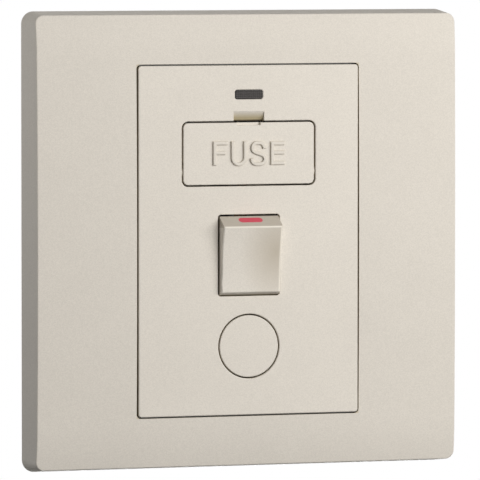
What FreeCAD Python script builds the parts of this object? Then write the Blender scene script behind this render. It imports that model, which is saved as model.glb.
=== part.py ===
import FreeCAD, Part
import Sketcher
import math
import os

# Switched fused connection unit: a clip-on cover frame over a mounting frame, with a switched
# and fused module in it. The origin is the middle of the wall plane, the front faces -Y and
# +Z is up. A level is a distance from the wall plane towards the front, so y = -level.

doc = FreeCAD.newDocument("FusedSpurUnit")
sheet = doc.addObject("Spreadsheet::Sheet", "Sizes")


class Size:
    """A number that remembers the spreadsheet formula it comes from."""

    def __init__(self, value, formula):
        self.value = value
        self.formula = formula

    def __add__(self, other):
        other = as_size(other)
        return Size(self.value + other.value, "(%s + %s)" % (self.formula, other.formula))

    def __sub__(self, other):
        other = as_size(other)
        return Size(self.value - other.value, "(%s - %s)" % (self.formula, other.formula))

    def __mul__(self, other):
        other = as_size(other)
        return Size(self.value * other.value, "(%s * %s)" % (self.formula, other.formula))

    def __truediv__(self, other):
        other = as_size(other)
        return Size(self.value / other.value, "(%s / %s)" % (self.formula, other.formula))

    def __neg__(self):
        return Size(-self.value, "(-1 * %s)" % self.formula)

    __radd__ = __add__
    __rmul__ = __mul__

    def __rsub__(self, other):
        return as_size(other) - self


def as_size(thing):
    """Plain numbers stand for themselves."""
    if isinstance(thing, Size):
        return thing
    return Size(float(thing), "%.12g" % thing)


def root(size):
    return Size(math.sqrt(size.value), "sqrt(%s)" % size.formula)


def sine(angle):
    return Size(math.sin(math.radians(angle.value)), "sin(%s)" % angle.formula)


def cosine(angle):
    return Size(math.cos(math.radians(angle.value)), "cos(%s)" % angle.formula)


def driving(alias, number):
    """Write one driving dimension into the sheet, in millimetres or degrees."""
    row = driving.row = driving.row + 1
    sheet.set("A%d" % row, alias)
    sheet.set("B%d" % row, str(number))
    sheet.setAlias("B%d" % row, alias)
    return Size(float(number), "Sizes.%s" % alias)


driving.row = 0

# Cover frame: outline at the wall, drafted sides, a face crowned from top to bottom
frame_width = driving("frame_width", 87.4)
frame_height = driving("frame_height", 88.5)
frame_depth = driving("frame_depth", 7.4)
frame_draft = driving("frame_draft", 6.2)
frame_corner = driving("frame_corner", 2.4)
frame_face_wall = driving("frame_face_wall", 1.9)
frame_side_wall = driving("frame_side_wall", 1.8)
frame_edge_round = driving("frame_edge_round", 0.25)
crown_radius = driving("crown_radius", 1950)
rolloff_radius = driving("rolloff_radius", 48)
rolloff_band = driving("rolloff_band", 8.4)
window_gap = driving("window_gap", 0.3)
clip_spacing_x = driving("clip_spacing_x", 68)
clip_spacing_z = driving("clip_spacing_z", 48)
clip_length = driving("clip_length", 8)
clip_thickness = driving("clip_thickness", 1.5)
clip_nib = driving("clip_nib", 0.5)
clip_gap = driving("clip_gap", 0.2)
clip_tip_clearance = driving("clip_tip_clearance", 0.15)

# Front plate of the module and its openings
plate_width = driving("plate_width", 45.0)
plate_height = driving("plate_height", 67.5)
plate_wall = driving("plate_wall", 2.0)
plate_corner = driving("plate_corner", 0.6)
plate_edge_round = driving("plate_edge_round", 0.2)
lens_width = driving("lens_width", 5.6)
lens_height = driving("lens_height", 1.7)
lens_corner = driving("lens_corner", 0.4)
lens_gap = driving("lens_gap", 0.05)
lens_flange = driving("lens_flange", 1.0)
lens_flange_margin = driving("lens_flange_margin", 0.9)
lens_centre_z = driving("lens_centre_z", 28.1)
outlet_centre_z = driving("outlet_centre_z", -20.5)
outlet_plug_diameter = driving("outlet_plug_diameter", 12.0)
outlet_gap = driving("outlet_gap", 0.25)
outlet_plug_wall = driving("outlet_plug_wall", 1.2)
outlet_ledge = driving("outlet_ledge", 0.75)
outlet_spigot_wall = driving("outlet_spigot_wall", 0.9)
outlet_spigot_gap = driving("outlet_spigot_gap", 0.15)
outlet_spigot_length = driving("outlet_spigot_length", 4.0)
outlet_bead = driving("outlet_bead", 0.35)
outlet_leg_spacing = driving("outlet_leg_spacing", 3.4)

# Mounting frame on the wall
base_width = driving("base_width", 80)
base_height = driving("base_height", 80.6)
base_thickness = driving("base_thickness", 1.6)
base_corner = driving("base_corner", 3.0)
rim_wall = driving("rim_wall", 1.2)
rim_height = driving("rim_height", 1.4)
seat_overlap = driving("seat_overlap", 1.2)
land_width = driving("land_width", 3.6)
fixing_centres = driving("fixing_centres", 60.3)
fixing_slot_width = driving("fixing_slot_width", 4.0)
fixing_slot_length = driving("fixing_slot_length", 6.0)
fixing_boss_margin = driving("fixing_boss_margin", 1.6)
fixing_boss_height = driving("fixing_boss_height", 0.8)

# Rear housing behind the wall plane
housing_gap = driving("housing_gap", 0.2)
housing_depth = driving("housing_depth", 18.0)
housing_corner = driving("housing_corner", 2.0)
housing_floor = driving("housing_floor", 1.6)
housing_chamfer = driving("housing_chamfer", 0.8)
catch_height = driving("catch_height", 0.8)
catch_length = driving("catch_length", 4.0)
catch_width = driving("catch_width", 8.0)
catch_spacing_z = driving("catch_spacing_z", 50.0)
catch_gap = driving("catch_gap", 0.15)
housing_screw_x = driving("housing_screw_x", 18.2)
housing_screw_z = driving("housing_screw_z", 28.8)
housing_screw_shank = driving("housing_screw_shank", 2.9)
housing_screw_head = driving("housing_screw_head", 4.8)
housing_screw_head_height = driving("housing_screw_head_height", 1.6)
housing_screw_seat = driving("housing_screw_seat", 12.0)
housing_screw_bite = driving("housing_screw_bite", 4.5)
screw_boss = driving("screw_boss", 4.4)
screw_boss_length = driving("screw_boss_length", 5.0)
screw_clearance = driving("screw_clearance", 0.15)
thread_clearance = driving("thread_clearance", 0.05)
pocket_gap = driving("pocket_gap", 0.15)

# Fuse carrier, tilting out about trunnions near its lower edge
carrier_width = driving("carrier_width", 26.8)
carrier_height = driving("carrier_height", 11.95)
carrier_corner = driving("carrier_corner", 1.0)
carrier_gap = driving("carrier_gap", 0.3)
carrier_wall = driving("carrier_wall", 1.6)
carrier_centre_z = driving("carrier_centre_z", 16.73)
carrier_pivot_depth = driving("carrier_pivot_depth", 1.2)
carrier_pivot_rise = driving("carrier_pivot_rise", 2.5)
carrier_rib_inset = driving("carrier_rib_inset", 0.7)
carrier_rib_wall = driving("carrier_rib_wall", 0.8)
carrier_rib_depth = driving("carrier_rib_depth", 1.3)
hinge_ear_width = driving("hinge_ear_width", 3.4)
hinge_ear_radius = driving("hinge_ear_radius", 1.9)
hinge_pin_diameter = driving("hinge_pin_diameter", 1.6)
hinge_pin_length = driving("hinge_pin_length", 1.2)
hinge_clearance = driving("hinge_clearance", 0.05)
hinge_boss_width = driving("hinge_boss_width", 2.2)
hinge_boss_reach = driving("hinge_boss_reach", 2.2)
hinge_boss_depth = driving("hinge_boss_depth", 1.7)
pry_width_outer = driving("pry_width_outer", 6.3)
pry_width_inner = driving("pry_width_inner", 5.9)
pry_height = driving("pry_height", 1.9)
pry_depth = driving("pry_depth", 1.3)
pry_run_in = driving("pry_run_in", 0.95)
pry_recess_width = driving("pry_recess_width", 4.7)
pry_recess_height = driving("pry_recess_height", 0.5)
fuse_drop = driving("fuse_drop", 5.0)
fuse_rise = driving("fuse_rise", 4.0)
fuse_length = driving("fuse_length", 25.4)
fuse_cap_diameter = driving("fuse_cap_diameter", 6.3)
fuse_cap_length = driving("fuse_cap_length", 5.2)
fuse_cap_wall = driving("fuse_cap_wall", 0.3)
fuse_cap_fit = driving("fuse_cap_fit", 0.02)
cradle_gap = driving("cradle_gap", 0.1)
cradle_wall = driving("cradle_wall", 0.6)
cradle_width = driving("cradle_width", 3.0)
cradle_offset = driving("cradle_offset", 4.0)
cradle_opening = driving("cradle_opening", 70.0)
cradle_web = driving("cradle_web", 3.0)

# Rocker, its trunnions and the over-centre plungers under it
rocker_centre_z = driving("rocker_centre_z", -2.9)
rocker_width = driving("rocker_width", 12.0)
rocker_gap = driving("rocker_gap", 0.3)
rocker_opening_height = driving("rocker_opening_height", 15.75)
rocker_pivot_depth = driving("rocker_pivot_depth", 4.0)
rocker_swing = driving("rocker_swing", 14.0)
rocker_ridge_z = driving("rocker_ridge_z", 6.43)
rocker_ridge_rise = driving("rocker_ridge_rise", 5.93)
rocker_skirt_z = driving("rocker_skirt_z", 7.97)
rocker_skirt_rise = driving("rocker_skirt_rise", 2.95)
rocker_foot_z = driving("rocker_foot_z", 6.9)
rocker_foot_rise = driving("rocker_foot_rise", 0.4)
rocker_dish_radius = driving("rocker_dish_radius", 60.0)
rocker_edge_round = driving("rocker_edge_round", 0.25)
rocker_wall = driving("rocker_wall", 1.3)
rocker_roof = driving("rocker_roof", 1.4)
rocker_ear_radius = driving("rocker_ear_radius", 2.0)
rocker_pin_diameter = driving("rocker_pin_diameter", 2.4)
rocker_pin_length = driving("rocker_pin_length", 1.9)
rocker_pin_clearance = driving("rocker_pin_clearance", 0.05)
rocker_bearing_width = driving("rocker_bearing_width", 2.0)
rocker_bearing_height = driving("rocker_bearing_height", 5.6)
rocker_bearing_wall = driving("rocker_bearing_wall", 1.2)
rocker_lip = driving("rocker_lip", 0.5)
mark_width = driving("mark_width", 4.9)
mark_height = driving("mark_height", 1.45)
mark_depth = driving("mark_depth", 0.4)
mark_place = driving("mark_place", 0.38)
pole_offset = driving("pole_offset", 3.2)
barrel_diameter = driving("barrel_diameter", 4.4)
barrel_bore = driving("barrel_bore", 3.0)
barrel_end = driving("barrel_end", 4.5)
barrel_top = driving("barrel_top", 3.0)
plunger_diameter = driving("plunger_diameter", 2.8)
plunger_start = driving("plunger_start", 0.6)
plunger_reach = driving("plunger_reach", 8.9)
plunger_nose = driving("plunger_nose", 1.0)
plunger_taper = driving("plunger_taper", 1.4)
spring_wire = driving("spring_wire", 0.4)
spring_diameter = driving("spring_diameter", 2.3)
spring_turns = driving("spring_turns", 4)

# Contact parts: rocking bridges over pressed copper strips on the chamber floor
bridge_gap = driving("bridge_gap", 0.1)
bridge_thickness = driving("bridge_thickness", 1.2)
bridge_width = driving("bridge_width", 3.2)
bridge_half_length = driving("bridge_half_length", 5.2)
bridge_swing = driving("bridge_swing", 10.0)
bridge_groove = driving("bridge_groove", 0.66)
contact_diameter = driving("contact_diameter", 2.2)
contact_height = driving("contact_height", 0.3)
contact_place = driving("contact_place", 3.9)
ridge_radius = driving("ridge_radius", 0.6)
strip_thickness = driving("strip_thickness", 0.8)
strip_width = driving("strip_width", 3.6)
strip_gap = driving("strip_gap", 0.2)
contact_separation = driving("contact_separation", 1.4)
clip_leg = driving("clip_leg", 0.8)
clip_strip = driving("clip_strip", 0.6)
clip_clearance = driving("clip_clearance", 0.125)
clip_width = driving("clip_width", 4.0)
clip_angle = driving("clip_angle", 51.3)
clip_inset = driving("clip_inset", 0.2)

# Terminals, reached by a screwdriver from behind and by the conductors from the side
terminal_x = driving("terminal_x", 17.4)
terminal_width = driving("terminal_width", 5.4)
terminal_length = driving("terminal_length", 7.0)
terminal_height = driving("terminal_height", 8.0)
terminal_bore = driving("terminal_bore", 4.0)
terminal_bore_rise = driving("terminal_bore_rise", 5.1)
terminal_entry_margin = driving("terminal_entry_margin", 0.3)
terminal_screw_shank = driving("terminal_screw_shank", 3.3)
terminal_screw_head = driving("terminal_screw_head", 4.4)
terminal_screw_head_height = driving("terminal_screw_head_height", 1.3)
terminal_screw_gap = driving("terminal_screw_gap", 0.1)
supply_terminal_z = driving("supply_terminal_z", -9.0)
load_neutral_terminal_z = driving("load_neutral_terminal_z", 3.5)
earth_terminal_z = driving("earth_terminal_z", -20.5)
slot_width = driving("slot_width", 0.8)
slot_depth = driving("slot_depth", 0.7)

# Indicator lamp and its resistor
lamp_diameter = driving("lamp_diameter", 3.9)
lamp_length = driving("lamp_length", 10.0)
lamp_gap = driving("lamp_gap", 0.1)
resistor_diameter = driving("resistor_diameter", 2.4)
resistor_length = driving("resistor_length", 5.6)
resistor_lead = driving("resistor_lead", 1.4)
lead_diameter = driving("lead_diameter", 0.6)
lamp_chamber_height = driving("lamp_chamber_height", 5.2)
lamp_chamber_end = driving("lamp_chamber_end", 1.0)

# Cord grip at the back of the flex outlet
passage_side = driving("passage_side", 11.6)
passage_corner = driving("passage_corner", 1.0)
grip_bar_length = driving("grip_bar_length", 22.0)
grip_bar_height = driving("grip_bar_height", 4.4)
grip_bar_thickness = driving("grip_bar_thickness", 2.6)
grip_bar_z = driving("grip_bar_z", -29.4)
grip_groove_width = driving("grip_groove_width", 7.0)
grip_groove_depth = driving("grip_groove_depth", 6.6)
grip_screw_x = driving("grip_screw_x", 7.6)
grip_screw_shank = driving("grip_screw_shank", 2.5)
grip_screw_head = driving("grip_screw_head", 4.2)
grip_screw_head_height = driving("grip_screw_head_height", 1.4)
grip_screw_length = driving("grip_screw_length", 8.0)

# Chambers of the housing
switch_chamber_gap = driving("switch_chamber_gap", 0.5)
switch_chamber_end = driving("switch_chamber_end", 1.9)
fuse_chamber_gap = driving("fuse_chamber_gap", 0.2)
fuse_chamber_top = driving("fuse_chamber_top", 0.2)
pole_rib_wall = driving("pole_rib_wall", 1.0)
pole_rib_height = driving("pole_rib_height", 6.0)

doc.recompute()

# Levels and places that follow from the sizes above
land_level = frame_depth - frame_face_wall
plate_level = land_level + plate_wall
opening_width = plate_width - 2 * seat_overlap
opening_height = plate_height - 2 * seat_overlap
housing_width = opening_width - 2 * housing_gap
housing_height = opening_height - 2 * housing_gap
terminal_seat_level = housing_floor - housing_depth
floor_level = terminal_seat_level + terminal_height
strip_level = floor_level + strip_thickness
carrier_bottom_z = carrier_centre_z - carrier_height / 2
carrier_pivot_level = plate_level - carrier_pivot_depth
carrier_pivot_z = carrier_bottom_z + carrier_pivot_rise
fuse_level = carrier_pivot_level - fuse_drop
fuse_z = carrier_pivot_z + fuse_rise
rocker_pivot_level = plate_level - rocker_pivot_depth
bridge_pivot_level = rocker_pivot_level - plunger_reach - bridge_gap - bridge_thickness
lamp_level = land_level - lens_flange - lamp_gap - lamp_diameter / 2


def recompute():
    doc.recompute()


def new_body(label):
    body = doc.addObject("PartDesign::Body", label)
    body.Label = label
    return body


def new_sketch(body, plane, offset=0.0):
    """A sketch on an origin plane of its own body: XZ looks from the front, its offset is a level."""
    sketch = body.newObject("Sketcher::SketchObject", body.Label + "_sketch")
    origin_plane = [part for part in body.Origin.OriginFeatures if part.Role == plane + "_Plane"][0]
    sketch.AttachmentSupport = (origin_plane, [""])
    sketch.MapMode = "FlatFace"
    offset = as_size(offset)
    sketch.AttachmentOffset = FreeCAD.Placement(FreeCAD.Vector(0, 0, offset.value), FreeCAD.Rotation())
    sketch.setExpression("AttachmentOffset.Base.z", offset.formula)
    return sketch


def arc_between(start, end, radius, turn):
    """Arc from start to end whose centre lies left of the way there for a turn of +1."""
    across = end - start
    middle = (start + end) * 0.5
    height = math.sqrt(max(radius * radius - across.Length * across.Length / 4, 0.0))
    left = FreeCAD.Vector(-across.y, across.x, 0).normalize()
    centre = middle + left * (height * turn)
    first = math.atan2(start.y - centre.y, start.x - centre.x)
    last = math.atan2(end.y - centre.y, end.x - centre.x)
    if turn < 0:
        first, last = last, first
    circle = Part.Circle(centre, FreeCAD.Vector(0, 0, 1), radius)
    return Part.ArcOfCircle(circle, first, last)


def hold_point(sketch, geometry, end, place):
    """Tie one point of a sketch to its two coordinates."""
    for kind, coordinate in (("DistanceX", place[0]), ("DistanceY", place[1])):
        index = sketch.addConstraint(Sketcher.Constraint(kind, -1, 1, geometry, end, coordinate.value))
        sketch.setExpression("Constraints[%d]" % index, coordinate.formula)


def outline(sketch, corners, arcs=None):
    """Closed outline. arcs maps the edge that leaves a corner to (radius, turn)."""
    arcs = arcs or {}
    corners = [(as_size(across), as_size(up)) for across, up in corners]
    spots = [FreeCAD.Vector(across.value, up.value, 0) for across, up in corners]
    first = sketch.GeometryCount
    count = len(corners)
    for edge in range(count):
        start, end = spots[edge], spots[(edge + 1) % count]
        if edge in arcs:
            radius, turn = arcs[edge]
            sketch.addGeometry(arc_between(start, end, as_size(radius).value, turn), False)
        else:
            sketch.addGeometry(Part.LineSegment(start, end), False)
    for edge in range(count):
        following = (edge + 1) % count
        end = 1 if edge in arcs and arcs[edge][1] < 0 else 2
        start = 2 if following in arcs and arcs[following][1] < 0 else 1
        sketch.addConstraint(Sketcher.Constraint("Coincident", first + edge, end, first + following, start))
    for edge in range(count):
        start = 2 if edge in arcs and arcs[edge][1] < 0 else 1
        hold_point(sketch, first + edge, start, corners[edge])
        if edge in arcs:
            radius = as_size(arcs[edge][0])
            index = sketch.addConstraint(Sketcher.Constraint("Radius", first + edge, radius.value))
            sketch.setExpression("Constraints[%d]" % index, radius.formula)


def rectangle(sketch, left, right, low, high):
    outline(sketch, [(left, low), (right, low), (right, high), (left, high)])


def rounded_rectangle(sketch, centre, width, height, radius):
    """Rectangle about a centre, with quarter-round corners."""
    left, right = centre[0] - width / 2, centre[0] + width / 2
    low, high = centre[1] - height / 2, centre[1] + height / 2
    corners = [(left + radius, low), (right - radius, low), (right, low + radius), (right, high - radius),
               (right - radius, high), (left + radius, high), (left, high - radius), (left, low + radius)]
    outline(sketch, corners, {1: (radius, 1), 3: (radius, 1), 5: (radius, 1), 7: (radius, 1)})


def circle(sketch, centre, diameter):
    centre = (as_size(centre[0]), as_size(centre[1]))
    spot = FreeCAD.Vector(centre[0].value, centre[1].value, 0)
    index = sketch.addGeometry(Part.Circle(spot, FreeCAD.Vector(0, 0, 1), diameter.value / 2), False)
    hold_point(sketch, index, 3, centre)
    number = sketch.addConstraint(Sketcher.Constraint("Diameter", index, diameter.value))
    sketch.setExpression("Constraints[%d]" % number, diameter.formula)


def extrude(body, sketch, length, kind="Pad", reverse=False, middle=False, draft=None):
    """Pad or pocket a sketch."""
    feature = body.newObject("PartDesign::" + kind, body.Label + "_" + kind.lower())
    feature.Profile = sketch
    feature.Reversed = reverse
    if middle:
        feature.SideType = "Symmetric"
    feature.Length = abs(length.value)
    feature.setExpression("Length", length.formula)
    if draft is not None:
        feature.setExpression("TaperAngle", draft.formula)
    return feature


def pad(body, low, high, draw, draft=None):
    """Add what draw() outlines, seen from the front, between two levels."""
    sketch = new_sketch(body, "XZ", low)
    draw(sketch)
    return extrude(body, sketch, as_size(high) - low, "Pad", draft=draft)


def pocket(body, high, low, draw):
    """Cut what draw() outlines, seen from the front, from a level down to a deeper one."""
    sketch = new_sketch(body, "XZ", high)
    draw(sketch)
    return extrude(body, sketch, as_size(high) - low, "Pocket")


def pocket_from_behind(body, low, high, draw, draft=None):
    sketch = new_sketch(body, "XZ", low)
    draw(sketch)
    return extrude(body, sketch, as_size(high) - low, "Pocket", reverse=True, draft=draft)


def rib(body, left, right, draw, kind="Pad"):
    """Add or cut what draw() outlines, seen from the side, between two distances along X."""
    if kind == "Pad":
        sketch = new_sketch(body, "YZ", left)
        draw(sketch)
        return extrude(body, sketch, as_size(right) - left, "Pad")
    sketch = new_sketch(body, "YZ", right)
    draw(sketch)
    return extrude(body, sketch, as_size(right) - left, "Pocket")


def turned(body, corners, arcs=None, axis="Y"):
    """Revolve an outline about the body's own Y axis (radius, y), or X axis (x, radius)."""
    sketch = new_sketch(body, "XY")
    outline(sketch, corners, arcs)
    feature = body.newObject("PartDesign::Revolution", body.Label + "_turning")
    feature.Profile = sketch
    axis_line = [part for part in body.Origin.OriginFeatures if part.Role == axis + "_Axis"][0]
    feature.ReferenceAxis = (axis_line, [""])
    feature.Angle = 360
    return feature


def place(item, x, y, z, tilt=None):
    """Put a body at x, y, z, turned by tilt degrees about the X direction."""
    angle = as_size(0 if tilt is None else tilt)
    where = FreeCAD.Vector(as_size(x).value, as_size(y).value, as_size(z).value)
    item.Placement = FreeCAD.Placement(where, FreeCAD.Rotation(FreeCAD.Vector(1, 0, 0), angle.value))
    for name, value in (("x", x), ("y", y), ("z", z)):
        if isinstance(value, Size):
            item.setExpression("Placement.Base." + name, value.formula)


def round_edges(body, radius, wanted, kind="Fillet"):
    """Fillet or chamfer every edge of a body that the test wanted() accepts."""
    base = body.Tip
    recompute()
    edges = enumerate(base.Shape.Edges)
    names = ["Edge%d" % (number + 1) for number, edge in edges if wanted(edge)]
    feature = body.newObject("PartDesign::" + kind, body.Label + "_" + kind.lower())
    feature.Base = (base, names)
    body.Tip = feature
    if kind == "Fillet":
        feature.Radius = radius.value
        feature.setExpression("Radius", radius.formula)
    else:
        feature.Size = radius.value
        feature.setExpression("Size", radius.formula)
    return feature


def lies_at_y(edge, y):
    box = edge.BoundBox
    return abs(box.YMin - y) < 0.001 and abs(box.YMax - y) < 0.001


def group(label, members):
    """Like pieces that share one node."""
    compound = doc.addObject("Part::Compound", label)
    compound.Label = label
    compound.Links = members
    return compound


def make_cover_frame():
    body = new_body("cover_frame")
    pad(body, 0, frame_depth,
        lambda s: rounded_rectangle(s, (as_size(0), as_size(0)), frame_width, frame_height, frame_corner),
        draft=-frame_draft)
    hollow_width = frame_width - 2 * frame_side_wall
    hollow_height = frame_height - 2 * frame_side_wall
    hollow_corner = frame_corner - frame_side_wall * 0.5
    pocket_from_behind(body, 0, land_level,
                       lambda s: rounded_rectangle(s, (as_size(0), as_size(0)), hollow_width, hollow_height,
                                                   hollow_corner), draft=-frame_draft)
    pocket(body, frame_depth, land_level, lambda s: rounded_rectangle(
        s, (as_size(0), as_size(0)), plate_width + 2 * window_gap, plate_height + 2 * window_gap,
        plate_corner + window_gap))
    roll_start = frame_height / 2 - rolloff_band
    crown_drop = crown_radius - root(crown_radius * crown_radius - roll_start * roll_start)
    slope = roll_start / crown_radius
    flat = root(1 - slope * slope)
    roll_centre_z = roll_start - rolloff_radius * slope
    roll_centre_y = crown_drop - frame_depth + rolloff_radius * flat
    edge_z = frame_height / 2
    reach = edge_z - roll_centre_z
    edge_y = roll_centre_y - root(rolloff_radius * rolloff_radius - reach * reach)
    clear_y = -frame_depth - frame_face_wall
    roll_y = crown_drop - frame_depth
    sketch = new_sketch(body, "YZ")
    outline(sketch, [(clear_y, edge_z), (clear_y, -edge_z), (edge_y, -edge_z), (roll_y, -roll_start),
                     (roll_y, roll_start), (edge_y, edge_z)],
            {2: (rolloff_radius, -1), 3: (crown_radius, -1), 4: (rolloff_radius, -1)})
    extrude(body, sketch, frame_width, "Pocket", middle=True)
    half_window = (plate_width / 2 + window_gap).value
    round_edges(body, frame_edge_round, lambda e: e.BoundBox.YMax < -land_level.value - 0.2 and
                e.BoundBox.YMin < -land_level.value - 0.5 and
                (abs(e.CenterOfMass.x) > half_window + 5 or abs(e.CenterOfMass.z) > 36) and
                e.BoundBox.YLength < 1.5)
    for side_x in (-1, 1):
        for side_z in (-1, 1):
            inner = clip_spacing_x / 2 - clip_thickness / 2
            outer = clip_spacing_x / 2 + clip_thickness / 2
            low = side_z * clip_spacing_z / 2 - clip_length / 2
            high = side_z * clip_spacing_z / 2 + clip_length / 2
            ends = (side_x * inner, side_x * outer) if side_x > 0 else (side_x * outer, side_x * inner)
            pad(body, clip_tip_clearance, land_level, lambda s: rectangle(s, ends[0], ends[1], low, high))
            nib_ends = ((outer, outer + clip_nib) if side_x > 0 else (-outer - clip_nib, -outer))
            pad(body, clip_tip_clearance, base_thickness / 2 - clip_gap,
                lambda s: rectangle(s, nib_ends[0], nib_ends[1], low, high))
    return body


def make_mounting_frame():
    body = new_body("mounting_frame")
    middle = (as_size(0), as_size(0))
    pad(body, 0, base_thickness, lambda s: rounded_rectangle(s, middle, base_width, base_height, base_corner))
    collar_width = opening_width + 2 * land_width
    collar_height = opening_height + 2 * land_width
    pad(body, base_thickness, land_level, lambda s: rounded_rectangle(
        s, middle, collar_width, collar_height, plate_corner + land_width))

    def rim(sketch):
        rounded_rectangle(sketch, middle, base_width, base_height, base_corner)
        rounded_rectangle(sketch, middle, base_width - 2 * rim_wall, base_height - 2 * rim_wall,
                          base_corner - rim_wall)

    pad(body, base_thickness, base_thickness + rim_height, rim)
    for side in (-1, 1):
        boss_length = fixing_slot_length + 2 * fixing_boss_margin
        boss_width = fixing_slot_width + 2 * fixing_boss_margin
        boss_centre = (side * fixing_centres / 2, as_size(0))
        pad(body, base_thickness, base_thickness + fixing_boss_height, lambda s: rounded_rectangle(
            s, boss_centre, boss_length, boss_width, fixing_slot_width / 2))
    pocket(body, land_level, 0, lambda s: rounded_rectangle(s, middle, opening_width, opening_height,
                                                           housing_corner + housing_gap))
    for side in (-1, 1):
        centre_x = side * fixing_centres / 2
        straight = (fixing_slot_length - fixing_slot_width) / 2
        radius = fixing_slot_width / 2
        corners = [(centre_x - straight, -radius), (centre_x + straight, -radius),
                   (centre_x + straight + radius, 0), (centre_x + straight, radius),
                   (centre_x - straight, radius), (centre_x - straight - radius, 0)]
        arcs = {1: (radius, 1), 2: (radius, 1), 4: (radius, 1), 5: (radius, 1)}
        pocket(body, base_thickness + fixing_boss_height, 0, lambda s: outline(s, corners, arcs))
    for side_x in (-1, 1):
        for side_z in (-1, 1):
            inner = clip_spacing_x / 2 - clip_thickness / 2 - clip_gap
            outer = clip_spacing_x / 2 + clip_thickness / 2 + clip_gap
            low = side_z * clip_spacing_z / 2 - clip_length / 2 - clip_gap
            high = side_z * clip_spacing_z / 2 + clip_length / 2 + clip_gap
            ends = (inner, outer) if side_x > 0 else (-outer, -inner)
            pocket(body, base_thickness, 0, lambda s: rectangle(s, ends[0], ends[1], low, high))
            nib_ends = (outer, outer + clip_nib) if side_x > 0 else (-outer - clip_nib, -outer)
            pocket(body, base_thickness / 2, 0, lambda s: rectangle(s, nib_ends[0], nib_ends[1], low, high))
    return body


def well_width():
    return carrier_width + 2 * carrier_gap


def make_front_plate():
    body = new_body("front_plate")
    middle = (as_size(0), as_size(0))
    pad(body, land_level, plate_level, lambda s: rounded_rectangle(
        s, middle, plate_width, plate_height, plate_corner))
    well_height = carrier_height + 2 * carrier_gap
    pocket(body, plate_level, land_level, lambda s: rounded_rectangle(
        s, (as_size(0), carrier_centre_z), well_width(), well_height, carrier_corner + carrier_gap))
    pocket(body, plate_level, land_level, lambda s: rounded_rectangle(
        s, (as_size(0), rocker_centre_z), rocker_width + 2 * rocker_gap, rocker_opening_height,
        plate_corner))
    pocket(body, plate_level, land_level, lambda s: rounded_rectangle(
        s, (as_size(0), lens_centre_z), lens_width + 2 * lens_gap, lens_height + 2 * lens_gap,
        lens_corner + lens_gap))
    outlet = (as_size(0), outlet_centre_z)
    pocket(body, plate_level, plate_level - outlet_plug_wall, lambda s: circle(
        s, outlet, outlet_plug_diameter + 2 * outlet_gap))
    pocket(body, plate_level - outlet_plug_wall, land_level, lambda s: circle(
        s, outlet, outlet_plug_diameter - 2 * outlet_ledge))
    round_edges(body, plate_edge_round, lambda e: lies_at_y(e, -plate_level.value))
    # Tapered pry notch above the carrier, running down behind the carrier's top edge
    notch = body.newObject("PartDesign::SubtractiveWedge", "pry_notch")
    well_top = carrier_centre_z + well_height / 2
    for name, value in (("Xmin", -pry_width_outer / 2), ("Xmax", pry_width_outer / 2),
                        ("X2min", -pry_width_inner / 2), ("X2max", pry_width_inner / 2),
                        ("Ymin", as_size(0)), ("Ymax", pry_depth),
                        ("Zmin", -pry_run_in), ("Zmax", pry_height),
                        ("Z2min", -pry_run_in), ("Z2max", -pry_run_in / 2)):
        setattr(notch, name, value.value)
        notch.setExpression(name, value.formula)
    notch.Placement = FreeCAD.Placement(
        FreeCAD.Vector(0, -plate_level.value, well_top.value), FreeCAD.Rotation())
    notch.setExpression("Placement.Base.y", (-plate_level).formula)
    notch.setExpression("Placement.Base.z", well_top.formula)
    body.Tip = notch
    # Thin lips at the two ends of the rocker opening, relieved behind for the swing
    lip_y = rocker_lip - plate_level
    for side in (-1, 1):
        edge_z = rocker_centre_z + side * rocker_opening_height / 2
        far_z = edge_z + side * (plate_wall - rocker_lip)
        near_z = edge_z - side * rocker_gap
        corners = [(lip_y, edge_z), (-land_level, far_z), (-land_level, near_z), (lip_y, near_z)]
        if side > 0:
            corners.reverse()
        rib(body, -rocker_width / 2 - rocker_gap, rocker_width / 2 + rocker_gap,
            lambda s: outline(s, corners), "Pocket")
    # Bearings for the rocker trunnions
    for side in (-1, 1):
        inner = rocker_width / 2 + rocker_gap
        outer = inner + rocker_bearing_width
        ends = (inner, outer) if side > 0 else (-outer, -inner)
        tip_level = rocker_pivot_level - rocker_pin_diameter / 2 - rocker_bearing_wall
        pad(body, tip_level, land_level, lambda s: rectangle(
            s, ends[0], ends[1], rocker_centre_z - rocker_bearing_height / 2,
            rocker_centre_z + rocker_bearing_height / 2))
        bore = rocker_pin_diameter + 2 * rocker_pin_clearance
        rib(body, ends[0], ends[1], lambda s: circle(s, (-rocker_pivot_level, rocker_centre_z), bore),
            "Pocket")
    # Hinge bosses beside the fuse well, with blind sockets for the carrier trunnions
    for side in (-1, 1):
        inner = well_width() / 2
        outer = inner + hinge_boss_width
        ends = (inner, outer) if side > 0 else (-outer, -inner)
        pad(body, land_level - hinge_boss_depth, land_level, lambda s: rectangle(
            s, ends[0], ends[1], carrier_pivot_z - hinge_boss_reach, carrier_pivot_z + hinge_boss_reach))
        socket_end = carrier_width / 2 + hinge_pin_length + hinge_clearance * 2
        socket_ends = (inner - carrier_gap, socket_end) if side > 0 else (-socket_end, carrier_gap - inner)
        bore = hinge_pin_diameter + 2 * hinge_clearance
        rib(body, socket_ends[0], socket_ends[1],
            lambda s: circle(s, (-carrier_pivot_level, carrier_pivot_z), bore), "Pocket")
    # Screw bosses at the corners
    for side_x in (-1, 1):
        for side_z in (-1, 1):
            centre = (side_x * housing_screw_x, side_z * housing_screw_z)
            boss_end = land_level - screw_boss_length
            pad(body, boss_end, land_level, lambda s: circle(s, centre, screw_boss))
            pocket_from_behind(body, boss_end, land_level + plate_wall / 4, lambda s: circle(
                s, centre, housing_screw_shank + 2 * thread_clearance))
    return body


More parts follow.
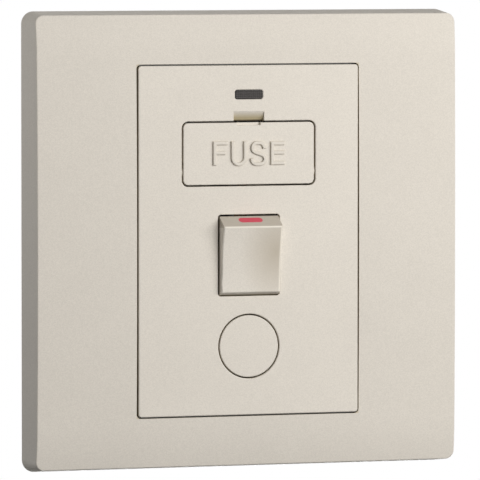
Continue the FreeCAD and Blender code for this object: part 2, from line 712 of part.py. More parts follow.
def terminal_places():
    """Centre of each terminal, seen from the front."""
    return {"supply_live_terminal": (terminal_x, supply_terminal_z),
            "supply_neutral_terminal": (-terminal_x, supply_terminal_z),
            "load_neutral_terminal": (-terminal_x, load_neutral_terminal_z),
            "load_live_terminal": (-terminal_x, fuse_strip_z()),
            "earth_terminal": (terminal_x, earth_terminal_z)}


def clip_leg_z():
    """The fuse clips stand on legs below the deepest point of their cradles."""
    return fuse_z - sine(clip_angle) * (fuse_cap_diameter / 2 + clip_clearance + clip_strip)


def fuse_strip_z():
    return clip_leg_z() + strip_width / 2 - clip_leg / 2


def make_rear_housing():
    body = new_body("rear_housing")
    middle = (as_size(0), as_size(0))
    pad(body, -housing_depth, land_level, lambda s: rounded_rectangle(
        s, middle, housing_width, housing_height, housing_corner))
    round_edges(body, housing_chamfer, lambda e: lies_at_y(e, housing_depth.value), "Chamfer")
    # Fuse chamber behind the well, with room for the hinge bosses
    chamber_half = well_width() / 2 + fuse_chamber_gap
    chamber_low = carrier_bottom_z - carrier_gap - fuse_chamber_gap
    chamber_high = carrier_centre_z + carrier_height / 2 + carrier_gap + fuse_chamber_top
    pocket(body, land_level, floor_level, lambda s: rectangle(
        s, -chamber_half, chamber_half, chamber_low, chamber_high))
    boss_half = well_width() / 2 + hinge_boss_width + pocket_gap * 2
    pocket(body, land_level, land_level - hinge_boss_depth - pocket_gap * 2, lambda s: rectangle(
        s, -boss_half, boss_half, carrier_pivot_z - hinge_boss_reach - pocket_gap * 2,
        carrier_pivot_z + hinge_boss_reach + pocket_gap * 2))
    # Switch chamber, with a rib between the poles
    switch_half = rocker_width / 2 + rocker_gap + rocker_bearing_width + switch_chamber_gap
    switch_low = rocker_centre_z - rocker_opening_height / 2 - switch_chamber_end
    switch_high = rocker_centre_z + rocker_opening_height / 2 + switch_chamber_end
    pocket(body, land_level, floor_level, lambda s: rectangle(
        s, -switch_half, switch_half, switch_low, switch_high))
    pad(body, floor_level, floor_level + pole_rib_height, lambda s: rectangle(
        s, -pole_rib_wall / 2, pole_rib_wall / 2, switch_low, switch_high))
    # Ways for the copper strips between the chambers and the terminals
    strip_half = strip_width / 2 + strip_gap
    ways = [(switch_half, terminal_x, supply_terminal_z),
            (-terminal_x, -switch_half, supply_terminal_z),
            (-terminal_x, -switch_half, load_neutral_terminal_z),
            (-terminal_x, -chamber_half, fuse_strip_z())]
    for left, right, centre_z in ways:
        pocket(body, land_level, floor_level, lambda s: rectangle(
            s, left, right, centre_z - strip_half, centre_z + strip_half))
    pocket(body, land_level, floor_level, lambda s: rectangle(
        s, pole_offset - strip_half, pole_offset + strip_half, switch_high, chamber_low))
    # Terminal pockets, screwdriver holes behind them and conductor entries from the sides
    for centre in terminal_places().values():
        half_width = terminal_width / 2 + pocket_gap
        half_length = terminal_length / 2 + pocket_gap
        pocket(body, land_level, terminal_seat_level, lambda s: rectangle(
            s, centre[0] - half_width, centre[0] + half_width,
            centre[1] - half_length, centre[1] + half_length))
        pocket(body, terminal_seat_level, -housing_depth, lambda s: circle(
            s, centre, terminal_screw_head + 2 * screw_clearance))
        entry_y = -(terminal_seat_level + terminal_bore_rise)
        entry = terminal_bore + 2 * terminal_entry_margin
        outer = housing_width / 2
        inner = terminal_x + terminal_width / 2
        ends = (inner, outer) if centre[0].value > 0 else (-outer, -inner)
        rib(body, ends[0], ends[1], lambda s: circle(s, (entry_y, centre[1]), entry), "Pocket")
    # Lamp chamber behind the lens
    lamp_floor = lamp_level - lamp_diameter / 2 - lamp_gap
    lamp_left = -lamp_length / 2 - resistor_lead * 2 - resistor_length - lamp_chamber_end
    pocket(body, land_level, lamp_floor, lambda s: rectangle(
        s, lamp_left, lamp_length / 2 + lamp_chamber_end,
        lens_centre_z - lamp_chamber_height / 2, lens_centre_z + lamp_chamber_height / 2))
    # Flex passage behind the outlet, and the cord grip seat at its rear end
    pocket(body, land_level, -housing_depth, lambda s: rounded_rectangle(
        s, (as_size(0), outlet_centre_z), passage_side, passage_side, passage_corner))
    groove_top = outlet_centre_z - passage_side / 4
    pocket_from_behind(body, -housing_depth, grip_groove_depth - housing_depth, lambda s: rectangle(
        s, -grip_groove_width / 2, grip_groove_width / 2, -housing_height / 2, groove_top))
    pocket_from_behind(body, -housing_depth, grip_bar_thickness - housing_depth, lambda s: rectangle(
        s, -grip_bar_length / 2 - pocket_gap, grip_bar_length / 2 + pocket_gap,
        grip_bar_z - grip_bar_height / 2 - pocket_gap, grip_bar_z + grip_bar_height / 2 + pocket_gap))
    for side in (-1, 1):
        centre = (side * grip_screw_x, grip_bar_z)
        seat = grip_bar_thickness - housing_depth
        pocket_from_behind(body, seat, seat + grip_screw_length - grip_bar_thickness + pocket_gap,
                           lambda s: circle(s, centre, grip_screw_shank + 2 * thread_clearance))
    # Screws that hold the front plate on
    for side_x in (-1, 1):
        for side_z in (-1, 1):
            centre = (side_x * housing_screw_x, side_z * housing_screw_z)
            pocket(body, land_level, land_level - screw_boss_length - pocket_gap, lambda s: circle(
                s, centre, screw_boss + 2 * screw_clearance))
            pocket(body, land_level - screw_boss_length, -housing_depth, lambda s: circle(
                s, centre, housing_screw_shank + 2 * screw_clearance))
            pocket_from_behind(body, -housing_depth, -housing_screw_seat, lambda s: circle(
                s, centre, housing_screw_head + 2 * screw_clearance))
    # Wedge catches that snap behind the mounting frame
    for side_x in (-1, 1):
        for side_z in (-1, 1):
            sketch = new_sketch(body, "XY", side_z * catch_spacing_z / 2 - catch_width / 2)
            root_x = side_x * (housing_width / 2)
            tip_x = side_x * (housing_width / 2 + catch_height)
            corners = [(root_x, catch_gap), (tip_x, catch_gap), (root_x, catch_gap + catch_length)]
            if side_x < 0:
                corners.reverse()
            outline(sketch, corners)
            extrude(body, sketch, catch_width, "Pad")
    return body


def slotted_screw(label, x, seat_level, z, shank, length, head, head_height):
    """Screw driven towards the front, with its head behind the seat."""
    body = new_body(label)
    turned(body, [(0, -length), (shank / 2, -length), (shank / 2, 0), (head / 2, 0),
                  (head / 2, head_height * 0.7), (head / 2 - head_height * 0.3, head_height),
                  (0, head_height)])
    sketch = new_sketch(body, "XZ", -head_height)
    rectangle(sketch, -head, head, -slot_width / 2, slot_width / 2)
    extrude(body, sketch, slot_depth, "Pocket", reverse=True)
    place(body, x, -seat_level, z)
    return body


def make_housing_screws():
    length = housing_screw_seat + land_level - screw_boss_length + housing_screw_bite
    screws = []
    for side_x in (-1, 1):
        for side_z in (-1, 1):
            screws.append(slotted_screw(
                "housing_screw_%d" % (len(screws) + 1), side_x * housing_screw_x, -housing_screw_seat,
                side_z * housing_screw_z, housing_screw_shank, length, housing_screw_head,
                housing_screw_head_height))
    return group("housing_screws", screws)


def make_terminal_screws():
    length = terminal_bore_rise - terminal_bore / 2
    screws = []
    for centre in terminal_places().values():
        screws.append(slotted_screw(
            "terminal_screw_%d" % (len(screws) + 1), centre[0], terminal_seat_level - terminal_screw_gap,
            centre[1], terminal_screw_shank, length, terminal_screw_head, terminal_screw_head_height))
    return group("terminal_screws", screws)


def make_grip_screws():
    screws = []
    for side in (-1, 1):
        screws.append(slotted_screw(
            "grip_screw_%d" % (len(screws) + 1), side * grip_screw_x, -housing_depth, grip_bar_z,
            grip_screw_shank, grip_screw_length, grip_screw_head, grip_screw_head_height))
    return group("cord_grip_screws", screws)


def make_grip_bar():
    body = new_body("cord_grip_bar")
    pad(body, -housing_depth, grip_bar_thickness - housing_depth, lambda s: rounded_rectangle(
        s, (as_size(0), grip_bar_z), grip_bar_length, grip_bar_height, grip_bar_height / 4))
    for side in (-1, 1):
        pocket_from_behind(body, -housing_depth, grip_bar_thickness - housing_depth, lambda s: circle(
            s, (side * grip_screw_x, grip_bar_z), grip_screw_shank + 2 * screw_clearance))
    return body


def make_terminal(label, centre):
    body = new_body(label)
    pad(body, terminal_seat_level, floor_level, lambda s: rounded_rectangle(
        s, centre, terminal_width, terminal_length, terminal_width / 9))
    bore_y = -(terminal_seat_level + terminal_bore_rise)
    rib(body, centre[0] - terminal_width / 2, centre[0] + terminal_width / 2,
        lambda s: circle(s, (bore_y, centre[1]), terminal_bore), "Pocket")
    pocket_from_behind(body, terminal_seat_level, terminal_seat_level + terminal_bore_rise,
                       lambda s: circle(s, centre, terminal_screw_shank + 2 * thread_clearance))
    return body


def make_feed_contact(label, side):
    """Strip from a supply terminal to the ridge that the rocking bridge sits on."""
    body = new_body(label)
    inner = pole_offset - strip_width / 2
    outer = pole_offset + strip_width / 2
    far = terminal_x + terminal_width / 2
    low = supply_terminal_z - strip_width / 2
    high = supply_terminal_z + strip_width / 2
    top = rocker_centre_z + contact_separation / 2
    corners = [(inner, low), (far, low), (far, high), (outer, high), (outer, top), (inner, top)]
    if side < 0:
        corners = [(-across, up) for across, up in reversed(corners)]
    pad(body, floor_level, strip_level, lambda s: outline(s, corners))
    ridge_y = -bridge_pivot_level
    strip_y = -strip_level + strip_thickness / 4
    profile = [(strip_y, rocker_centre_z + ridge_radius), (ridge_y, rocker_centre_z + ridge_radius),
               (ridge_y - ridge_radius, rocker_centre_z), (ridge_y, rocker_centre_z - ridge_radius),
               (strip_y, rocker_centre_z - ridge_radius)]
    ends = (inner, outer) if side > 0 else (-outer, -inner)
    rib(body, ends[0], ends[1], lambda s: outline(
        s, profile, {1: (ridge_radius, 1), 2: (ridge_radius, 1)}))
    return body


def make_neutral_load_contact():
    """Fixed contact under the neutral bridge, with its strip to the load terminal."""
    body = new_body("neutral_load_contact")
    inner = pole_offset - strip_width / 2
    outer = pole_offset + strip_width / 2
    far = terminal_x + terminal_width / 2
    bottom = rocker_centre_z + contact_separation * 1.5
    low = load_neutral_terminal_z - strip_width / 2
    high = load_neutral_terminal_z + strip_width / 2
    pad(body, floor_level, strip_level, lambda s: outline(
        s, [(-far, low), (-outer, low), (-outer, bottom), (-inner, bottom), (-inner, high), (-far, high)]))
    return body


def draw_clip(sketch):
    """Half ring that cradles a fuse cap from below and behind, open along the way the fuse leaves."""
    inner = fuse_cap_diameter / 2 + clip_clearance
    outer = inner + clip_strip
    centre_y = -fuse_level
    along_y, along_z = cosine(clip_angle), -sine(clip_angle)
    side_y, side_z = sine(clip_angle), cosine(clip_angle)
    corners = [(centre_y - side_y * outer, fuse_z - side_z * outer),
               (centre_y + along_y * outer, fuse_z + along_z * outer),
               (centre_y + side_y * outer, fuse_z + side_z * outer),
               (centre_y + side_y * inner, fuse_z + side_z * inner),
               (centre_y + along_y * inner, fuse_z + along_z * inner),
               (centre_y - side_y * inner, fuse_z - side_z * inner)]
    outline(sketch, corners, {0: (outer, 1), 1: (outer, 1), 3: (inner, -1), 4: (inner, -1)})


def make_fuse_clip(label, side):
    """Clip and strip in one pressing: the right one starts under the live bridge."""
    body = new_body(label)
    inner = fuse_length / 2 - clip_inset - clip_width
    outer = fuse_length / 2 - clip_inset
    low = fuse_strip_z() - strip_width / 2
    high = fuse_strip_z() + strip_width / 2
    if side > 0:
        left = pole_offset - strip_width / 2
        right = pole_offset + strip_width / 2
        bottom = rocker_centre_z + contact_separation * 1.5
        corners = [(left, bottom), (right, bottom), (right, low), (outer, low), (outer, high), (left, high)]
    else:
        far = terminal_x + terminal_width / 2
        corners = [(-far, low), (-inner, low), (-inner, high), (-far, high)]
    pad(body, floor_level, strip_level, lambda s: outline(s, corners))
    ends = (inner, outer) if side > 0 else (-outer, -inner)
    rib(body, ends[0], ends[1], draw_clip)
    leg_low = clip_leg_z() - clip_leg / 2
    leg_high = clip_leg_z() + clip_leg / 2
    ring_outer = fuse_cap_diameter / 2 + clip_clearance + clip_strip
    leg_start = cosine(clip_angle) * ring_outer - fuse_level - clip_strip / 4
    rib(body, ends[0], ends[1], lambda s: rectangle(
        s, leg_start, -strip_level + strip_thickness / 4, leg_low, leg_high))
    return body


def make_bridge(label, side):
    """Rocking contact bridge, drawn level about its own pivot and then tilted to its ON place."""
    body = new_body(label)
    ends = (-bridge_width / 2, bridge_width / 2)
    rib(body, ends[0], ends[1], lambda s: outline(
        s, [(-bridge_thickness, bridge_half_length), (-bridge_thickness, -bridge_half_length),
            (0, -bridge_half_length), (0, -bridge_groove), (-bridge_groove, 0), (0, bridge_groove),
            (0, bridge_half_length)],
        {3: (bridge_groove, -1), 4: (bridge_groove, -1)}))
    sketch = new_sketch(body, "XZ", 0)
    circle(sketch, (as_size(0), contact_place), contact_diameter)
    extrude(body, sketch, contact_height, "Pad", reverse=True)
    place(body, side * pole_offset, -bridge_pivot_level, rocker_centre_z, -bridge_swing / 2)
    return body


def facet_frame():
    """Middle of the ON mark on the rocker's top facet, and the facet's lean from upright."""
    run_z = rocker_ridge_z - rocker_skirt_z
    rise = rocker_ridge_rise - rocker_skirt_rise
    centre_z = rocker_skirt_z + run_z * mark_place
    centre_level = rocker_skirt_rise + rise * mark_place
    lean = 90 + math.degrees(math.atan2(run_z.value, rise.value))
    return centre_z, centre_level, lean


def facet_sketch(body, depth):
    centre_z, centre_level, lean = facet_frame()
    sketch = new_sketch(body, "XZ")
    turn = FreeCAD.Rotation(FreeCAD.Vector(1, 0, 0), -lean)
    inward = turn.multVec(FreeCAD.Vector(0, 0, -depth))
    sketch.setExpression("AttachmentOffset.Base.z", None)
    sketch.AttachmentOffset = FreeCAD.Placement(
        FreeCAD.Vector(0, centre_z.value, centre_level.value) + inward, turn)
    return sketch


def draw_mark(sketch):
    radius = mark_height / 2
    straight = mark_width / 2 - radius
    corners = [(-straight, -radius), (straight, -radius), (straight + radius, 0), (straight, radius),
               (-straight, radius), (-straight - radius, 0)]
    outline(sketch, corners, {1: (radius, 1), 2: (radius, 1), 4: (radius, 1), 5: (radius, 1)})


def seat_in_rocker(item, offset_x=0):
    """Ride in the rocker, which is drawn about its own pivot and shown pressed to ON."""
    place(item, offset_x, -rocker_pivot_level, rocker_centre_z, rocker_swing / 2)


def make_rocker():
    body = new_body("rocker")
    profile = [(-rocker_ridge_rise, rocker_ridge_z), (-rocker_ridge_rise, -rocker_ridge_z),
               (-rocker_skirt_rise, -rocker_skirt_z), (-rocker_foot_rise, -rocker_foot_z),
               (-rocker_foot_rise, rocker_foot_z), (-rocker_skirt_rise, rocker_skirt_z)]
    rib(body, -rocker_width / 2, rocker_width / 2, lambda s: outline(
        s, profile, {0: (rocker_dish_radius, -1)}))
    front = rocker_ridge_rise.value - 0.5
    round_edges(body, rocker_edge_round, lambda e: e.BoundBox.YMin < -front and e.BoundBox.YMax < -front)
    reach = rocker_ear_radius
    ear = [(-rocker_foot_rise - rocker_wall, reach), (-rocker_foot_rise - rocker_wall, -reach),
           (0, -reach), (reach, 0), (0, reach)]
    rib(body, -rocker_width / 2, rocker_width / 2, lambda s: outline(
        s, ear, {2: (reach, 1), 3: (reach, 1)}))
    pin_end = rocker_width / 2 + rocker_pin_length
    rib(body, -pin_end, pin_end, lambda s: circle(s, (as_size(0), as_size(0)), rocker_pin_diameter))
    half_x = rocker_width / 2 - rocker_wall
    half_z = rocker_foot_z - rocker_wall
    roof = rocker_ridge_rise - rocker_roof
    pocket_from_behind(body, -2 * reach, roof, lambda s: rectangle(s, -half_x, half_x, -half_z, half_z))
    for side in (-1, 1):
        centre = (side * pole_offset, as_size(0))
        pad(body, -barrel_end, roof, lambda s: circle(s, centre, barrel_diameter))
        pocket_from_behind(body, -barrel_end, barrel_top, lambda s: circle(s, centre, barrel_bore))
    sketch = facet_sketch(body, 0)
    draw_mark(sketch)
    extrude(body, sketch, mark_depth, "Pocket")
    seat_in_rocker(body)
    return body


def make_on_marker():
    body = new_body("on_marker")
    sketch = facet_sketch(body, mark_depth.value)
    draw_mark(sketch)
    extrude(body, sketch, mark_depth, "Pad")
    seat_in_rocker(body)
    return body


def make_plungers():
    plungers = []
    for side in (-1, 1):
        body = new_body("contact_plunger_%d" % (len(plungers) + 1))
        nose_start = plunger_reach - plunger_nose
        turned(body, [(0, plunger_start), (plunger_diameter / 2, plunger_start),
                      (plunger_diameter / 2, nose_start - plunger_taper), (plunger_nose, nose_start),
                      (0, plunger_reach)], {3: (plunger_nose, 1)})
        seat_in_rocker(body, side * pole_offset)
        plungers.append(body)
    return group("contact_plungers", plungers)


def make_springs():
    springs = []
    for side in (-1, 1):
        number = len(springs) + 1
        length = barrel_top + plunger_start - spring_wire
        helix = doc.addObject("Part::Helix", "spring_path_%d" % number)
        helix.setExpression("Pitch", (length / spring_turns).formula)
        helix.setExpression("Height", length.formula)
        helix.setExpression("Radius", (spring_diameter / 2).formula)
        ring = doc.addObject("Part::Circle", "spring_wire_%d" % number)
        ring.setExpression("Radius", (spring_wire / 2).formula)
        ring.Placement = FreeCAD.Placement(FreeCAD.Vector(0, 0, 0),
                                           FreeCAD.Rotation(FreeCAD.Vector(1, 0, 0), 90))
        ring.setExpression("Placement.Base.x", (spring_diameter / 2).formula)
        coil = doc.addObject("Part::Sweep", "plunger_spring_%d" % number)
        coil.Sections = [ring]
        coil.Spine = (helix, ["Edge1"])
        coil.Solid = True
        coil.Frenet = True
        start = barrel_top - spring_wire / 2
        tilt = rocker_swing / 2
        place(coil, side * pole_offset, -rocker_pivot_level - cosine(tilt) * start,
              rocker_centre_z - sine(tilt) * start, tilt - 90)
        springs.append(coil)
    return group("plunger_springs", springs)


def make_fuse_carrier():
    body = new_body("fuse_carrier")
    back_level = plate_level - carrier_wall
    centre = (as_size(0), carrier_centre_z)
    pad(body, back_level, plate_level, lambda s: rounded_rectangle(
        s, centre, carrier_width, carrier_height, carrier_corner))
    recess_low = carrier_centre_z + carrier_height / 2 - pry_recess_height
    recess_high = carrier_centre_z + carrier_height / 2 + carrier_gap
    pocket(body, plate_level, plate_level - pry_depth / 2, lambda s: rectangle(
        s, -pry_recess_width / 2, pry_recess_width / 2, recess_low, recess_high))
    round_edges(body, plate_edge_round, lambda e: lies_at_y(e, -plate_level.value))

    def stiffening_rib(sketch):
        width = carrier_width - 2 * carrier_rib_inset
        height = carrier_height - 2 * carrier_rib_inset
        rounded_rectangle(sketch, centre, width, height, carrier_corner)
        rounded_rectangle(sketch, centre, width - 2 * carrier_rib_wall, height - 2 * carrier_rib_wall,
                          carrier_corner / 2)

    pad(body, back_level - carrier_rib_depth, back_level, stiffening_rib)
    for side in (-1, 1):
        inner = carrier_width / 2 - hinge_ear_width
        outer = carrier_width / 2
        ends = (inner, outer) if side > 0 else (-outer, -inner)
        ear_y = -back_level - carrier_wall / 8
        ear = [(ear_y, carrier_pivot_z + hinge_ear_radius), (ear_y, carrier_pivot_z - hinge_ear_radius),
               (ear_y + hinge_ear_radius, carrier_pivot_z)]
        rib(body, ends[0], ends[1], lambda s: outline(
            s, ear, {1: (hinge_ear_radius, 1), 2: (hinge_ear_radius, 1)}))
        pin_inner = outer - hinge_pin_length
        pin_outer = outer + hinge_pin_length
        pin_ends = (pin_inner, pin_outer) if side > 0 else (-pin_outer, -pin_inner)
        rib(body, pin_ends[0], pin_ends[1], lambda s: circle(
            s, (-carrier_pivot_level, carrier_pivot_z), hinge_pin_diameter))
    # Two snap cradles that hold the fuse by its ceramic body
    inner = (fuse_cap_diameter / 2 - fuse_cap_wall) + cradle_gap
    outer = inner + cradle_wall
    turn_y, turn_z = cosine(cradle_opening), sine(cradle_opening)
    centre_y = -fuse_level
    ring = [(centre_y + turn_y * outer, fuse_z + turn_z * outer), (centre_y - outer, fuse_z),
            (centre_y + turn_y * outer, fuse_z - turn_z * outer),
            (centre_y + turn_y * inner, fuse_z - turn_z * inner), (centre_y - inner, fuse_z),
            (centre_y + turn_y * inner, fuse_z + turn_z * inner)]
    arcs = {0: (outer, 1), 1: (outer, 1), 3: (inner, -1), 4: (inner, -1)}
    for side in (-1, 1):
        left = side * cradle_offset - cradle_width / 2
        right = side * cradle_offset + cradle_width / 2
        rib(body, left, right, lambda s: rectangle(
            s, -back_level - carrier_wall / 8, centre_y - inner - cradle_wall / 4,
            fuse_z - cradle_web / 2, fuse_z + cradle_web / 2))
        rib(body, left, right, lambda s: outline(s, ring, arcs))
    return body


def make_fuse_tube():
    body = new_body("fuse_tube")
    half = fuse_length / 2 - fuse_cap_wall
    radius = fuse_cap_diameter / 2 - fuse_cap_wall - fuse_cap_fit
    turned(body, [(-half, 0), (half, 0), (half, radius), (-half, radius)], axis="X")
    place(body, 0, -fuse_level, fuse_z)
    return body


def make_fuse_caps():
    caps = []
    end = fuse_length / 2
    outer = fuse_cap_diameter / 2
    inner = outer - fuse_cap_wall
    for side in (-1, 1):
        body = new_body("fuse_cap_%d" % (len(caps) + 1))
        corners = [(end - fuse_cap_length, inner), (end - fuse_cap_wall, inner), (end - fuse_cap_wall, 0),
                   (end, 0), (end, outer - fuse_cap_wall), (end - fuse_cap_wall, outer),
                   (end - fuse_cap_length, outer)]
        arcs = {4: (fuse_cap_wall, 1)}
        if side < 0:
            corners = [(-along, out) for along, out in reversed(corners)]
            arcs = {1: (fuse_cap_wall, 1)}
        turned(body, corners, arcs, axis="X")
        place(body, 0, -fuse_level, fuse_z)
        caps.append(body)
    return group("fuse_caps", caps)


def make_lens():
    body = new_body("indicator_lens")
    centre = (as_size(0), lens_centre_z)
    pad(body, land_level, plate_level, lambda s: rounded_rectangle(
        s, centre, lens_width, lens_height, lens_corner))
    pad(body, land_level - lens_flange, land_level, lambda s: rounded_rectangle(
        s, centre, lens_width + 2 * lens_flange_margin, lens_height + 2 * lens_flange_margin, lens_corner))
    return body


def make_lamp():
    body = new_body("indicator_lamp")
    radius = lamp_diameter / 2
    half = lamp_length / 2
    pip = lamp_diameter / 6
    turned(body, [(-half, 0), (half, 0), (half - radius / 4, pip), (half - radius, radius),
                  (-half + radius, radius), (-half, 0 + pip)],
           {2: (radius * 1.6, 1), 4: (radius * 1.1, 1)}, axis="X")
    place(body, 0, -lamp_level, lens_centre_z)
    return body


def make_resistor():
    body = new_body("lamp_resistor")
    half = resistor_length / 2
    thick = resistor_diameter / 2
    thin = lead_diameter / 2
    shoulder = resistor_length / 5
    turned(body, [(-half - resistor_lead, 0), (half + resistor_lead, 0), (half + resistor_lead, thin),
                  (half, thin), (half, thick), (half - shoulder, thick), (half - shoulder, thick * 0.85),
                  (shoulder - half, thick * 0.85), (shoulder - half, thick), (-half, thick), (-half, thin),
                  (-half - resistor_lead, thin)], axis="X")
    centre_x = -lamp_length / 2 - resistor_lead - resistor_length / 2
    place(body, centre_x, -lamp_level, lens_centre_z)
    return body


def make_outlet_plug():
    body = new_body("flex_outlet_plug")
    radius = outlet_plug_diameter / 2
    spigot = radius - outlet_ledge - outlet_spigot_gap
    bore = spigot - outlet_spigot_wall
    front_y = -plate_level
    back_y = front_y + outlet_plug_wall
    bead_y = -land_level + outlet_spigot_gap
    round_off = plate_edge_round
    end_y = back_y + outlet_spigot_length
    turned(body, [(0, front_y), (radius - round_off, front_y), (radius, front_y + round_off),
                  (radius, back_y), (spigot, back_y), (spigot, bead_y), (spigot + outlet_bead, bead_y),
                  (spigot, bead_y + 2 * outlet_bead), (spigot, end_y), (bore, end_y), (bore, back_y),
                  (0, back_y)], {1: (round_off, 1)})
    # A cross cut leaves four snap legs of the spigot, with the passage open between them
    half = outlet_leg_spacing / 2
    corners = [(-radius, -half), (-half, -half), (-half, -radius), (half, -radius), (half, -half),
               (radius, -half), (radius, half), (half, half), (half, radius), (-half, radius),
               (-half, half), (-radius, half)]
    pocket_from_behind(body, -end_y, -back_y, lambda s: outline(s, corners))
    place(body, 0, 0, outlet_centre_z)
    return body


sub_parts = [
    make_cover_frame(),
    make_mounting_frame(),
    make_front_plate(),
    make_rear_housing(),
    make_housing_screws(),
    make_terminal_screws(),
    make_grip_screws(),
    make_grip_bar(),
    make_feed_contact("live_feed_contact", 1),
    make_feed_contact("neutral_feed_contact", -1),
    make_neutral_load_contact(),
    make_fuse_clip("supply_fuse_clip", 1),
    make_fuse_clip("load_fuse_clip", -1),
    make_bridge("live_contact_bridge", 1),
    make_bridge("neutral_contact_bridge", -1),
    make_rocker(),
    make_on_marker(),
    make_plungers(),
    make_springs(),
    make_fuse_carrier(),
    make_fuse_tube(),
    make_fuse_caps(),
    make_lens(),
    make_lamp(),
    make_resistor(),
    make_outlet_plug(),
]
sub_parts += [make_terminal(label, centre) for label, centre in terminal_places().items()]

recompute()
for item in doc.Objects:
    if "Invalid" in item.State or "Error" in item.State:
        raise ValueError("%s failed: %s" % (item.Label, item.State))
    if item.TypeId in ("PartDesign::Pad", "PartDesign::Pocket") and item.BaseFeature:
        change = item.Shape.Volume - item.BaseFeature.Shape.Volume
        if change * (1 if item.TypeId == "PartDesign::Pad" else -1) < 0.001:
            raise ValueError("%s did nothing" % item.Label)
for item in sub_parts:
    if item.Shape.isNull() or not item.Shape.isValid():
        raise ValueError("%s has no valid shape" % item.Label)

os.makedirs("parts", exist_ok=True)
for item in sub_parts:
    item.Shape.exportStep(os.path.join("parts", item.Label + ".step"))
    box = item.Shape.BoundBox
    print("%-24s %d solids %9.1f mm3  x %6.2f %6.2f  y %6.2f %6.2f  z %6.2f %6.2f" % (
        item.Label, len(item.Shape.Solids), item.Shape.Volume,
        box.XMin, box.XMax, box.YMin, box.YMax, box.ZMin, box.ZMax))
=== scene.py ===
import math

import bmesh
import bpy
from mathutils import Matrix, Vector


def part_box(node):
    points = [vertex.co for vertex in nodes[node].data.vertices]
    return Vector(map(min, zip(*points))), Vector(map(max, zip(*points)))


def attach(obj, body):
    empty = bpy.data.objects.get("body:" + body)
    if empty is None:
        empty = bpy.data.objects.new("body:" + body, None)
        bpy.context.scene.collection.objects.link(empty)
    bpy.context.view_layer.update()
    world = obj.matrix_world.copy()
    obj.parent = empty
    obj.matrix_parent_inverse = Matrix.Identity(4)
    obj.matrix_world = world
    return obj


# The model stands in metres: the wall plane is y = 0, the front faces -Y and +Z is up
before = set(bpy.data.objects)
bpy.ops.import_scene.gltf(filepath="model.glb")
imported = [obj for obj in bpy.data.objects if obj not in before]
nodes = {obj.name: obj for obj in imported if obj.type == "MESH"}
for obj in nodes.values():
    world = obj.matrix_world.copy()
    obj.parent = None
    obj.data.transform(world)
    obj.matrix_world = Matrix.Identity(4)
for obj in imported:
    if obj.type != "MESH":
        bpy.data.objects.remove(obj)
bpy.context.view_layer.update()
scene = bpy.context.scene
print("frame loaded:", len(nodes), "nodes")

noiseReach = (0.3, 0.7)  # nearly all of a noise's values lie in here


def newMaterial(name):
    material = bpy.data.materials.new(name)
    material.use_nodes = True
    tree = material.node_tree
    surface = tree.nodes["Principled BSDF"]
    return material, tree, surface


# an input is either a value or the socket that feeds it
def addNode(tree, kind, inputs=None, **settings):
    node = tree.nodes.new(kind)
    for key, value in settings.items():
        setattr(node, key, value)
    for key, value in (inputs or {}).items():
        if isinstance(value, bpy.types.NodeSocket):
            tree.links.new(value, node.inputs[key])
        else:
            node.inputs[key].default_value = value
    return node


def objectPoints(tree, scale=(1, 1, 1), location=(0, 0, 0)):
    place = addNode(tree, "ShaderNodeTexCoord")
    mapping = addNode(tree, "ShaderNodeMapping", {
        "Vector": place.outputs["Object"], "Scale": scale, "Location": location})
    return mapping.outputs["Vector"]


def calculate(tree, operation, *values):
    node = addNode(tree, "ShaderNodeMath", dict(enumerate(values)), operation=operation)
    return node.outputs[0]


def calculatePoint(tree, operation, *values):
    return addNode(tree, "ShaderNodeVectorMath", dict(enumerate(values)), operation=operation)


def blendColors(tree, amount, first, second, mode="MIX"):
    mix = addNode(tree, "ShaderNodeMix", data_type="RGBA", blend_type=mode)
    for socket, value in ((mix.inputs[0], amount), (mix.inputs[6], first), (mix.inputs[7], second)):
        if isinstance(value, bpy.types.NodeSocket):
            tree.links.new(value, socket)
        else:
            socket.default_value = value
    return mix.outputs[2]


def rangeOf(tree, value, low, high, fromLow=0.0, fromHigh=1.0):
    node = addNode(tree, "ShaderNodeMapRange", {
        "Value": value, "From Min": fromLow, "From Max": fromHigh, "To Min": low, "To Max": high})
    return node.outputs["Result"]


def addNoise(tree, points, scale, detail, roughness=0.5):
    node = addNode(tree, "ShaderNodeTexNoise", {
        "Vector": points, "Scale": scale, "Detail": detail, "Roughness": roughness})
    return node.outputs[0]


def opaque(color, factor=1.0):
    return (color[0] * factor, color[1] * factor, color[2] * factor, 1.0)


def varyColor(tree, surface, amount, color, contrast):
    tone = blendColors(tree, amount, opaque(color, 1 - contrast), opaque(color, 1 + contrast))
    tree.links.new(tone, surface.inputs["Base Color"])


def varyRoughness(tree, surface, amount, roughness, spread, reach=noiseReach):
    rough = rangeOf(tree, amount, roughness - spread, roughness + spread, *reach)
    tree.links.new(rough, surface.inputs["Roughness"])


def addBump(tree, surface, height, strength, distance):
    bump = addNode(tree, "ShaderNodeBump", {"Strength": strength, "Distance": distance, "Height": height})
    tree.links.new(bump.outputs[0], surface.inputs["Normal"])


def dress(material, *names):
    for name in names:
        mesh = nodes[name].data
        mesh.materials.clear()
        mesh.materials.append(material)


def makeObject(mesh, name, material):
    data = bpy.data.meshes.new(name)
    mesh.to_mesh(data)
    mesh.free()
    data.materials.append(material)
    piece = bpy.data.objects.new(name, data)
    scene.collection.objects.link(piece)
    return piece


# champagne lacquer: a fine metallic flake under a satin coat
lacquer = {
    "color": (0.665, 0.625, 0.565),  # linear, before light
    "flakeSize": 0.00016,
    "flakeContrast": 0.055,
    "cloudSize": 0.012,
    "cloudContrast": 0.012,
    "metallic": 0.03,
    "roughness": 0.5,
    "roughnessSpread": 0.05,
    "specular": 0.04,
    "flakeTilt": 0.06,
    "grain": 0.00002,
    "seam": 0.00032,  # the window's wall lies this far outside the plate
}

